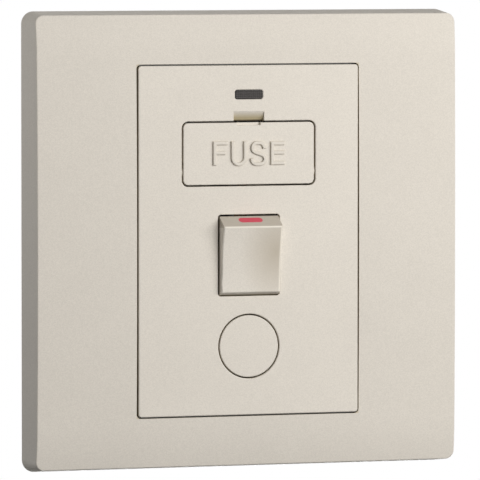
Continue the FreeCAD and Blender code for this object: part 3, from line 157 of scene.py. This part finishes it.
# colours painted between two depths behind the plate's face: the bare moulding where little spray reaches,
# which in shallow recesses also serves as painted shade, and a painted shade in the narrow seams
recessColorsAndShade = {
    "bareMouldingAndShade": {"color": (0.45, 0.385, 0.25), "start": 0.00005, "stop": 0.0007},  # the moulding itself
    # painted shade: a near-black brown in the seams and at the foot of the notch
    "seam": {"color": (0.06, 0.044, 0.028), "start": 0.00088, "stop": 0.00098},
    "well": {"color": (0.45, 0.385, 0.25), "start": 0.0024, "stop": 0.0034},  # the moulding again
}

# each moulding's own tone, and how far in front of the plate's face its recess colours and painted shade
# begin
batches = {
    "cover": {"tone": 1.0, "lift": 0.0, "layers": ("bareMouldingAndShade", "seam", "well")},
    "plate": {"tone": 1.05, "lift": 0.0, "layers": ("bareMouldingAndShade", "seam", "well")},
    # the carrier's shallow pry recess keeps its lacquer, and only its deeper parts take the bare colour as
    # painted shade
    "carrier": {"tone": 1.06, "lift": -0.0009, "layers": ("bareMouldingAndShade",)},
    # the letters' sides take the recess colours from in front of the plate's face: painted shade that
    # outlines them
    "letter": {"tone": 1.06, "lift": 0.0005, "layers": ("bareMouldingAndShade", "seam", "well")},
    # the rocker's walls take the recess colours: painted shade on them inside the opening
    "rocker": {"tone": 1.07, "lift": 0.0001, "layers": ("bareMouldingAndShade", "seam", "well")},
}


# 1 on what lies deep in the window of the cover frame, 0 on every face
def recessAmount(tree, points, start, stop):
    low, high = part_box("front_plate")
    split = addNode(tree, "ShaderNodeSeparateXYZ", {"Vector": points})
    depth = rangeOf(tree, split.outputs[1], 0.0, 1.0, low.y + start, low.y + stop)
    for axis, half in ((0, high.x), (2, high.z)):
        away = calculate(tree, "ABSOLUTE", split.outputs[axis])
        inside = calculate(tree, "LESS_THAN", away, half + lacquer["seam"])
        depth = calculate(tree, "MULTIPLY", depth, inside)
    return depth


# "finish" adds a piece's own painted highlights and painted shade to the sprayed colour
def makeLacquer(part, finish=None):
    batch = batches[part]
    material, tree, surface = newMaterial(part + "Lacquer")
    points = objectPoints(tree)
    flakes = addNode(tree, "ShaderNodeTexVoronoi", {
        "Vector": points, "Scale": 1 / lacquer["flakeSize"]}, feature="F1")
    sparkle = addNode(tree, "ShaderNodeSeparateColor", {"Color": flakes.outputs["Color"]})
    dark = opaque(lacquer["color"], batch["tone"] - lacquer["flakeContrast"])
    light = opaque(lacquer["color"], batch["tone"] + lacquer["flakeContrast"])
    color = blendColors(tree, sparkle.outputs[0], dark, light)
    clouds = addNoise(tree, points, 1 / lacquer["cloudSize"], detail=3.0)
    shade = rangeOf(tree, clouds, 1 - lacquer["cloudContrast"], 1 + lacquer["cloudContrast"], *noiseReach)
    shadeColor = addNode(tree, "ShaderNodeCombineColor", {0: shade, 1: shade, 2: shade})
    color = blendColors(tree, 1.0, color, shadeColor.outputs[0], "MULTIPLY")
    if finish:
        color = finish(tree, points, color)
    # the recess colours, among them painted shade, blended in by depth
    for name in batch["layers"]:
        layer = recessColorsAndShade[name]
        amount = recessAmount(tree, points, layer["start"] - batch["lift"], layer["stop"] - batch["lift"])
        color = blendColors(tree, amount, color, opaque(layer["color"]))
    tree.links.new(color, surface.inputs["Base Color"])
    varyRoughness(tree, surface, sparkle.outputs[1], lacquer["roughness"], lacquer["roughnessSpread"],
                  reach=(0.0, 1.0))
    addBump(tree, surface, sparkle.outputs[2], lacquer["flakeTilt"], lacquer["grain"])
    surface.inputs["Metallic"].default_value = lacquer["metallic"]
    surface.inputs["Specular IOR Level"].default_value = lacquer["specular"]
    return material


# the rocker's painted highlights along its ridge and right edge, a painted shade patch on the right of its
# face and a painted shade on its top facet
rockerPaintedLight = {
    "faceHalf": 0.0060,  # half the width of the face
    "highlightColor": (0.80, 0.755, 0.67),
    "ridgeWidth": 0.00022,  # each side of the ridge
    "crestFrom": 0.0002,  # the painted highlight on the ridge ends between these depths behind its foremost point
    "crestTo": 0.0005,
    "edgeWidth": 0.0004,
    # painted shade: the face is painted darker towards its middle right
    "shadePatchColor": (0.50, 0.445, 0.365),
    "shadePatchPlace": (0.0049, 0.0, 0.0010),  # from the middle of the rocker
    "shadePatchShape": (1.0, 0.0, 0.7),  # under 1 draws the shade out along that axis
    "shadePatchRadius": 0.0075,
    "shadePatchAmount": 0.9,
    # painted shade on the top facet above the ridge
    "facetShadeColor": (0.50, 0.455, 0.39),
}


def rockerShadeAndHighlight(tree, points, color):
    low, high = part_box("rocker")
    ridge = min(nodes["rocker"].data.vertices, key=lambda corner: corner.co.y).co.z
    ridgeWidth = rockerPaintedLight["ridgeWidth"]
    split = addNode(tree, "ShaderNodeSeparateXYZ", {"Vector": points})
    below = rangeOf(tree, split.outputs[2], 1.0, 0.0, ridge - ridgeWidth, ridge)
    # painted shade patch on the face, right of its middle
    middle = (low + high) / 2 + Vector(rockerPaintedLight["shadePatchPlace"])
    offset = calculatePoint(tree, "SUBTRACT", points, (middle.x, 0.0, middle.z))
    drawn = calculatePoint(tree, "MULTIPLY", offset.outputs[0], rockerPaintedLight["shadePatchShape"])
    away = calculatePoint(tree, "LENGTH", drawn.outputs[0])
    shadePatch = rangeOf(tree, away.outputs[1], rockerPaintedLight["shadePatchAmount"], 0.0, 0.0, rockerPaintedLight["shadePatchRadius"])
    shadePatch = calculate(tree, "MULTIPLY", shadePatch, below)
    color = blendColors(tree, shadePatch, color, opaque(rockerPaintedLight["shadePatchColor"]))
    # the facet above the ridge is painted darker, as painted shade
    color = blendColors(tree, below, opaque(rockerPaintedLight["facetShadeColor"]), color)
    # painted highlights: a strip along the face's right edge and a line along the ridge
    edge = rockerPaintedLight["faceHalf"] - rockerPaintedLight["edgeWidth"]
    side = rangeOf(tree, split.outputs[0], 0.0, 1.0, edge, edge + rockerPaintedLight["edgeWidth"] / 2)
    side = calculate(tree, "MULTIPLY", side, below)
    height = calculate(tree, "ABSOLUTE", calculate(tree, "SUBTRACT", split.outputs[2], ridge))
    crest = rangeOf(tree, height, 1.0, 0.0, ridgeWidth / 2, ridgeWidth)
    front = rangeOf(tree, split.outputs[1], 1.0, 0.0,
                    low.y + rockerPaintedLight["crestFrom"], low.y + rockerPaintedLight["crestTo"])
    crest = calculate(tree, "MULTIPLY", crest, front)
    highlight = calculate(tree, "MAXIMUM", side, crest)
    return blendColors(tree, highlight, color, opaque(rockerPaintedLight["highlightColor"]))


dress(makeLacquer("cover"), "cover_frame")
dress(makeLacquer("plate"), "front_plate", "flex_outlet_plug")
dress(makeLacquer("carrier"), "fuse_carrier")
dress(makeLacquer("rocker", finish=rockerShadeAndHighlight), "rocker")
print("lacquer done")


# moulded plastics and the ceramic of the fuse, with a faint spark-eroded texture
mouldings = {
    "greyMoulding": {
        "pieces": ("mounting_frame",),
        "color": (0.27, 0.27, 0.262), "roughness": 0.5, "grain": 0.0005, "depth": 0.00004},
    "whiteMoulding": {
        "pieces": ("rear_housing", "cord_grip_bar"),
        "color": (0.70, 0.70, 0.67), "roughness": 0.42, "grain": 0.0004, "depth": 0.00003},
    "naturalNylon": {
        "pieces": ("contact_plungers",),
        "color": (0.62, 0.59, 0.5), "roughness": 0.35, "grain": 0.0003, "depth": 0.00001},
    "redInlay": {
        "pieces": ("on_marker",),
        "color": (0.60, 0.055, 0.095), "roughness": 0.35, "grain": 0.0003, "depth": 0.00001},
    "fuseCeramic": {
        "pieces": ("fuse_tube",),
        "color": (0.72, 0.69, 0.6), "roughness": 0.6, "grain": 0.0006, "depth": 0.00003},
}
mouldedTexture = {"speckle": 0.02, "patchScale": 90.0, "roughnessSpread": 0.06, "bump": 0.25}


def makeMoulding(name, finish):
    material, tree, surface = newMaterial(name)
    points = objectPoints(tree)
    patches = addNoise(tree, points, mouldedTexture["patchScale"], detail=2.0)
    varyColor(tree, surface, patches, finish["color"], mouldedTexture["speckle"])
    grain = addNoise(tree, points, 1 / finish["grain"], detail=4.0, roughness=0.6)
    varyRoughness(tree, surface, grain, finish["roughness"], mouldedTexture["roughnessSpread"])
    addBump(tree, surface, grain, mouldedTexture["bump"], finish["depth"])
    return material


for name, finish in mouldings.items():
    dress(makeMoulding(name, finish), *finish["pieces"])
print("mouldings done")


# smoked lens: crossed prism grooves under a glossy skin
lens = {
    "color": (0.026, 0.023, 0.0215),
    # painted shade in the grooves and a painted highlight on the crests
    "darkest": 0.4,  # share of the colour in a groove
    "lightest": 2.0,  # and on a crest
    "pitch": 0.00042,
    "grooveSpan": (0.4, 1.6),  # from groove to crest, in the sum of the two waves
    "grooveDepth": 0.00003,
    "bump": 0.5,
    "roughness": 0.3,
    "specular": 0.14,
}


def makeLens():
    material, tree, surface = newMaterial("smokedLens")
    points = objectPoints(tree)
    waveScale = math.pi / 10 / lens["pitch"]  # a wave's period is pi / 10 at scale 1
    grooves = []
    for direction in ("X", "Z"):
        wave = addNode(tree, "ShaderNodeTexWave", {"Vector": points, "Scale": waveScale},
                       wave_type="BANDS", bands_direction=direction, wave_profile="TRI")
        grooves.append(wave.outputs[1])
    crossed = calculate(tree, "ADD", *grooves)
    amount = rangeOf(tree, crossed, 0.0, 1.0, *lens["grooveSpan"])
    # painted shade in the grooves, painted highlight on the crests
    tone = blendColors(tree, amount, opaque(lens["color"], lens["darkest"]),
                       opaque(lens["color"], lens["lightest"]))
    tree.links.new(tone, surface.inputs["Base Color"])
    addBump(tree, surface, crossed, lens["bump"], lens["grooveDepth"])
    surface.inputs["Roughness"].default_value = lens["roughness"]
    surface.inputs["Specular IOR Level"].default_value = lens["specular"]
    return material


dress(makeLens(), "indicator_lens")
print("lens done")


# metals: rolled, turned or plated, each with its own grain in waves per metre along x, y and z
metals = {
    "zincScrews": {
        "pieces": ("housing_screws", "terminal_screws", "cord_grip_screws"),
        "color": (0.52, 0.52, 0.5), "roughness": 0.32, "grain": (1500, 1500, 1500), "contrast": 0.1},
    "terminalBrass": {
        "pieces": ("supply_live_terminal", "supply_neutral_terminal", "load_live_terminal",
                   "load_neutral_terminal", "earth_terminal"),
        "color": (0.56, 0.4, 0.17), "roughness": 0.3, "grain": (400, 3000, 400), "contrast": 0.1},
    "copperStrip": {
        "pieces": ("live_feed_contact", "neutral_feed_contact", "neutral_load_contact", "supply_fuse_clip",
                   "load_fuse_clip", "live_contact_bridge", "neutral_contact_bridge"),
        "color": (0.62, 0.32, 0.17), "roughness": 0.33, "grain": (500, 500, 3500), "contrast": 0.12},
    "nickelCaps": {
        "pieces": ("fuse_caps",),
        "color": (0.6, 0.58, 0.53), "roughness": 0.22, "grain": (3000, 600, 600), "contrast": 0.07},
    "springSteel": {
        "pieces": ("plunger_springs",),
        "color": (0.42, 0.42, 0.43), "roughness": 0.25, "grain": (1200, 1200, 1200), "contrast": 0.08},
}
metalRoughnessSpread = 0.08


def makeMetal(name, finish):
    material, tree, surface = newMaterial(name)
    points = objectPoints(tree, scale=finish["grain"])
    grain = addNoise(tree, points, 1.0, detail=3.0, roughness=0.55)
    varyColor(tree, surface, grain, finish["color"], finish["contrast"])
    varyRoughness(tree, surface, grain, finish["roughness"], metalRoughnessSpread)
    surface.inputs["Metallic"].default_value = 1.0
    return material


for name, finish in metals.items():
    dress(makeMetal(name, finish), *finish["pieces"])
print("metals done")


# neon lamp: clear glass with faint drawn streaks
lampGlass = {"color": (0.9, 0.82, 0.76), "streakScale": 500.0, "roughness": 0.05, "roughnessSpread": 0.03,
             "transmission": 0.85, "ior": 1.46}


def makeLampGlass():
    material, tree, surface = newMaterial("lampGlass")
    streaks = addNoise(tree, objectPoints(tree), lampGlass["streakScale"], detail=1.0)
    varyRoughness(tree, surface, streaks, lampGlass["roughness"], lampGlass["roughnessSpread"])
    surface.inputs["Base Color"].default_value = opaque(lampGlass["color"])
    surface.inputs["Transmission Weight"].default_value = lampGlass["transmission"]
    surface.inputs["IOR"].default_value = lampGlass["ior"]
    return material


# the lamp's resistor: places are shares of its length
resistor = {
    "body": (0.5, 0.36, 0.2),
    "cap": (0.45, 0.45, 0.45),
    "capLength": 0.165,
    "bands": [(0.26, (0.5, 0.36, 0.1)), (0.42, (0.65, 0.4, 0.02)),
              (0.52, (0.02, 0.02, 0.02)), (0.62, (0.3, 0.14, 0.04))],
    "bandLength": 0.05,
    "roughness": 0.4,
}


def makeResistorPaint():
    material, tree, surface = newMaterial("resistorPaint")
    low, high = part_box("lamp_resistor")
    split = addNode(tree, "ShaderNodeSeparateXYZ", {"Vector": objectPoints(tree)})
    along = rangeOf(tree, split.outputs[0], 0.0, 1.0, low.x, high.x)
    ramp = addNode(tree, "ShaderNodeValToRGB", {"Fac": along})
    ramp.color_ramp.interpolation = "CONSTANT"
    stops = [(0.0, resistor["cap"]), (resistor["capLength"], resistor["body"])]
    for place, color in resistor["bands"]:
        stops += [(place, color), (place + resistor["bandLength"], resistor["body"])]
    stops.append((1 - resistor["capLength"], resistor["cap"]))
    marks = ramp.color_ramp.elements
    marks[0].position, marks[0].color = stops[0][0], opaque(stops[0][1])
    marks[1].position, marks[1].color = stops[-1][0], opaque(stops[-1][1])
    for place, color in stops[1:-1]:
        mark = marks.new(place)
        mark.color = opaque(color)
    tree.links.new(ramp.outputs[0], surface.inputs["Base Color"])
    surface.inputs["Roughness"].default_value = resistor["roughness"]
    return material


dress(makeLampGlass(), "indicator_lamp")
dress(makeResistorPaint(), "lamp_resistor")
print("lamp and resistor done")


# raised letters on the fuse carrier, drawn in millimetres: x to the right, y up, z out of the face
letters = {
    "foot": {"F": 14.49, "U": 14.33, "S": 14.33, "E": 14.49},
    "head": {"F": 19.14, "U": 19.14, "S": 19.12, "E": 19.0},
    "left": {"F": -7.43, "U": -3.73, "E": 4.36},
    "width": {"F": 3.0, "U": 3.25, "E": 2.92},
    "midBar": {"F": 16.55, "E": 16.49},  # foot of the middle bar
    "midBarWidth": {"F": 2.57, "E": 2.84},
    "upperBowl": (0.31, 3.43),  # left and right of the S above and below its spine
    "lowerBowl": (0.19, 3.60),
    "bowlRadius": 0.93,  # of the stroke's middle line
    "tailSweep": math.radians(82),
    "tail": 0.33,
    "stroke": 0.72,
    "rise": 0.42,  # how far the letters stand proud of the face
    "sink": 0.3,
    "edge": 0.2,  # the rounding of the rim
    "edgeSegments": 3,
    "edgeAngle": 1.0,  # a sharper rim than this is rounded
    "arcStep": math.radians(9),
    "arcStepsLeast": 3,
    "tolerance": 0.001,
    "metres": 0.001,  # in one of the drawing's units
}


def strokeStart(mesh, first, second):
    corners = [bmesh.ops.create_vert(mesh, co=(*spot, 0.0))["vert"][0] for spot in (first, second)]
    return [mesh.edges.new(corners)]


def onlyEdges(parts):
    return [part for part in parts if isinstance(part, bmesh.types.BMEdge)]


def onlyCorners(parts):
    return [part for part in parts if isinstance(part, bmesh.types.BMVert)]


def drawStraight(mesh, edges, step):
    grown = bmesh.ops.extrude_edge_only(mesh, edges=edges)["geom"]
    moved = onlyCorners(grown)
    bmesh.ops.translate(mesh, vec=(*step, 0.0), verts=moved)
    return [edge for edge in onlyEdges(grown) if all(corner in moved for corner in edge.verts)]


def drawArc(mesh, edges, centre, sweep):
    steps = max(letters["arcStepsLeast"], round(abs(sweep) / letters["arcStep"]))
    spun = bmesh.ops.spin(mesh, geom=list(edges[0].verts) + edges, cent=(*centre, 0.0), axis=(0, 0, 1),
                          dvec=(0, 0, 0), angle=sweep, steps=steps, use_merge=False, use_duplicate=False)
    return onlyEdges(spun["geom_last"])


# the right side of a stem, between two levels
def stemSide(mesh, right, foot, head):
    slack = letters["tolerance"]
    return [edge for edge in mesh.edges if all(
        abs(corner.co.x - right) < slack and foot - slack < corner.co.y < head + slack
        for corner in edge.verts)]


# a stem with bars to its right, each given as its foot and its length
def drawComb(mesh, name, bars):
    stroke, left, level = letters["stroke"], letters["left"][name], letters["foot"][name]
    right = left + stroke
    end = strokeStart(mesh, (left, level), (right, level))
    for foot, length in bars:
        if foot > level:
            end = drawStraight(mesh, end, (0.0, foot - level))
        end = drawStraight(mesh, end, (0.0, stroke))
        level = foot + stroke
        drawStraight(mesh, stemSide(mesh, right, foot, level), (length - stroke, 0.0))


def drawU(mesh):
    left, foot, head = letters["left"]["U"], letters["foot"]["U"], letters["head"]["U"]
    radius = letters["width"]["U"] / 2
    bowl = (left + radius, foot + radius)
    drop = head - bowl[1]
    end = strokeStart(mesh, (left, head), (left + letters["stroke"], head))
    end = drawStraight(mesh, end, (0.0, -drop))
    end = drawArc(mesh, end, bowl, math.pi)
    drawStraight(mesh, end, (0.0, drop))


# a slanting spine between two bowls, drawn from its middle both ways
def drawS(mesh):
    half, radius = letters["stroke"] / 2, letters["bowlRadius"]
    inset = half + radius
    upperLeft, upperRight = letters["upperBowl"][0] + inset, letters["upperBowl"][1] - inset
    lowerLeft, lowerRight = letters["lowerBowl"][0] + inset, letters["lowerBowl"][1] - inset
    upper = Vector((upperLeft, letters["head"]["S"] - inset))
    lower = Vector((lowerRight, letters["foot"]["S"] + inset))
    between = lower - upper
    lean = math.atan2(between.y, between.x) + math.asin(2 * radius / between.length)
    along = Vector((math.cos(lean), math.sin(lean)))
    side = Vector((-along.y, along.x)) * half
    reach = math.sqrt(between.length_squared / 4 - radius ** 2)
    middle = (upper + lower) / 2
    spine = strokeStart(mesh, middle - side, middle + side)
    for way, centre, flat in ((1, lower, lowerRight - lowerLeft), (-1, upper, upperRight - upperLeft)):
        end = drawStraight(mesh, spine, along * reach * way)
        end = drawArc(mesh, end, centre, -math.pi - lean)
        across = Vector((-way * flat, 0.0))
        end = drawStraight(mesh, end, across)
        end = drawArc(mesh, end, centre + across, -letters["tailSweep"])
        heading = Vector((-way, 0.0))
        heading.rotate(Matrix.Rotation(-letters["tailSweep"], 2))
        drawStraight(mesh, end, heading * letters["tail"])


# gives the flat drawing its thickness, from below the face to its rounded rim
def raiseLetters(mesh):
    bmesh.ops.remove_doubles(mesh, verts=mesh.verts[:], dist=letters["tolerance"])
    bmesh.ops.translate(mesh, vec=(0.0, 0.0, -letters["sink"]), verts=mesh.verts[:])
    raised = bmesh.ops.extrude_face_region(mesh, geom=mesh.faces[:])["geom"]
    bmesh.ops.translate(mesh, vec=(0.0, 0.0, letters["sink"] + letters["rise"]), verts=onlyCorners(raised))
    bmesh.ops.recalc_face_normals(mesh, faces=mesh.faces[:])
    rim = [edge for edge in mesh.edges if all(corner.co.z > 0 for corner in edge.verts) and
           edge.calc_face_angle(0.0) > letters["edgeAngle"]]
    bmesh.ops.bevel(mesh, geom=rim, offset=letters["edge"], offset_type="OFFSET", profile=0.5,
                    segments=letters["edgeSegments"], affect="EDGES", clamp_overlap=True, material=-1)


def makeLetters():
    mesh = bmesh.new()
    for name in ("F", "E"):
        foot, width = letters["foot"][name], letters["width"][name]
        bars = [(foot, width)] if name == "E" else []
        bars += [(letters["midBar"][name], letters["midBarWidth"][name]),
                 (letters["head"][name] - letters["stroke"], width)]
        drawComb(mesh, name, bars)
    drawU(mesh)
    drawS(mesh)
    raiseLetters(mesh)
    face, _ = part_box("fuse_carrier")
    bmesh.ops.scale(mesh, vec=[letters["metres"]] * 3, verts=mesh.verts[:])
    bmesh.ops.rotate(mesh, matrix=Matrix.Rotation(math.pi / 2, 3, "X"), verts=mesh.verts[:])
    bmesh.ops.translate(mesh, vec=(0.0, face.y, 0.0), verts=mesh.verts[:])
    print("letters: open edges", sum(1 for edge in mesh.edges if not edge.is_manifold))
    return makeObject(mesh, "fuseLetters", makeLacquer("letter"))


word = makeLetters()
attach(word, "fuse_carrier")
print("letters done")


# pale floor below the unit, clear of the photograph's view; it fades out towards its rim
floor = {
    "height": -0.15,
    "half": 0.55,
    "color": (0.88, 0.88, 0.87),
    "roughness": 0.9,
    "fadeFrom": 0.25,
    "fadeTo": 0.53,
    "glow": 0.3,  # keeps it pale to the eye, and lights nothing
    "thinned": 0.9,  # share of its soft bounce that is kept off the unit
}


def makeFloorPaint():
    material, tree, surface = newMaterial("floorPaint")
    surface.inputs["Base Color"].default_value = opaque(floor["color"])
    surface.inputs["Roughness"].default_value = floor["roughness"]
    surface.inputs["Emission Color"].default_value = opaque(floor["color"])
    rays = addNode(tree, "ShaderNodeLightPath")
    glow = calculate(tree, "MULTIPLY", rays.outputs["Is Camera Ray"], floor["glow"])
    tree.links.new(glow, surface.inputs["Emission Strength"])
    points = objectPoints(tree, location=(0, 0, -floor["height"]))
    distance = calculatePoint(tree, "LENGTH", points)
    fade = rangeOf(tree, distance.outputs[1], 0.0, 1.0, floor["fadeFrom"], floor["fadeTo"])
    side = addNode(tree, "ShaderNodeNewGeometry")
    hidden = calculate(tree, "MAXIMUM", fade, side.outputs["Backfacing"])
    bounce = calculate(tree, "MULTIPLY", rays.outputs["Is Diffuse Ray"], floor["thinned"])
    hidden = calculate(tree, "MAXIMUM", hidden, bounce)
    clear = addNode(tree, "ShaderNodeBsdfTransparent")
    mix = addNode(tree, "ShaderNodeMixShader", {0: hidden, 1: surface.outputs[0], 2: clear.outputs[0]})
    tree.links.new(mix.outputs[0], tree.nodes["Material Output"].inputs["Surface"])
    return material


def makeFloor():
    mesh = bmesh.new()
    bmesh.ops.create_grid(mesh, x_segments=2, y_segments=2, size=floor["half"],
                          matrix=Matrix.Translation((0.0, 0.0, floor["height"])))
    piece = makeObject(mesh, "floor", makeFloorPaint())


makeFloor()
print("floor done")


# studio: a soft key close in front, weak lamps at the sides, two behind for the back, white all round
studio = {
    "white": (1.0, 1.0, 1.0),
    "ambient": 0.13,
    "lamps": {
        "key": {"place": (0.15, -0.43, 0.13), "size": 0.32, "power": 1.76, "color": (1.0, 0.985, 0.96)},
        "right": {"place": (0.33, -0.28, 0.07), "size": 0.15, "power": 0.5, "color": (1.0, 0.985, 0.96)},
        "left": {"place": (-0.2, 0.0, 0.1), "size": 0.08, "power": 0.09, "color": (1.0, 0.985, 0.96)},
        "backLeft": {"place": (-0.25, 1.7, -0.15), "size": 0.8, "power": 9.5, "color": (1.0, 1.0, 1.0)},
        "backRight": {"place": (0.3, 1.6, -0.15), "size": 0.8, "power": 9.5, "color": (1.0, 1.0, 1.0)},
    },
}


# white to the eye, in gloss and through glass, and dim where it lights the unit
def makeWorld():
    world = bpy.data.worlds.new("studio")
    world.use_nodes = True
    scene.world = world
    tree = world.node_tree
    soft = tree.nodes["Background"]
    soft.inputs["Color"].default_value = opaque(studio["white"])
    soft.inputs["Strength"].default_value = studio["ambient"]
    white = addNode(tree, "ShaderNodeBackground", {"Color": opaque(studio["white"]), "Strength": 1.0})
    rays = addNode(tree, "ShaderNodeLightPath")
    seen = calculate(tree, "MAXIMUM", rays.outputs["Is Camera Ray"], rays.outputs["Is Glossy Ray"])
    seen = calculate(tree, "MAXIMUM", seen, rays.outputs["Is Transmission Ray"])
    mix = addNode(tree, "ShaderNodeMixShader", {0: seen, 1: soft.outputs[0], 2: white.outputs[0]})
    tree.links.new(mix.outputs[0], tree.nodes["World Output"].inputs["Surface"])


def addLamp(name, lamp):
    light = bpy.data.lights.new(name, "AREA")
    light.shape = "SQUARE"
    light.size = lamp["size"]
    light.energy = lamp["power"]
    light.color = lamp["color"]
    piece = bpy.data.objects.new(name, light)
    piece.location = lamp["place"]
    piece.rotation_euler = (-Vector(lamp["place"])).to_track_quat("-Z", "Y").to_euler()
    scene.collection.objects.link(piece)


makeWorld()
for name, lamp in studio["lamps"].items():
    addLamp(name, lamp)
print("lamps done")


# long lens from the left, a little above the middle
view = {
    "place": (-0.44311, -1.22581, 0.06683),
    "direction": (0.340099, 0.938984, -0.051464),
    "lens": 504.6,
    "sensor": 36.0,
    "farthest": 10.0,
}


def makeCamera():
    data = bpy.data.cameras.new("camera")
    data.lens = view["lens"]
    data.sensor_width = view["sensor"]
    data.clip_end = view["farthest"]
    piece = bpy.data.objects.new("camera", data)
    piece.location = view["place"]
    piece.rotation_euler = Vector(view["direction"]).to_track_quat("-Z", "Y").to_euler()
    scene.collection.objects.link(piece)
    scene.camera = piece


makeCamera()
scene.view_settings.view_transform = "Standard"
print("camera done")
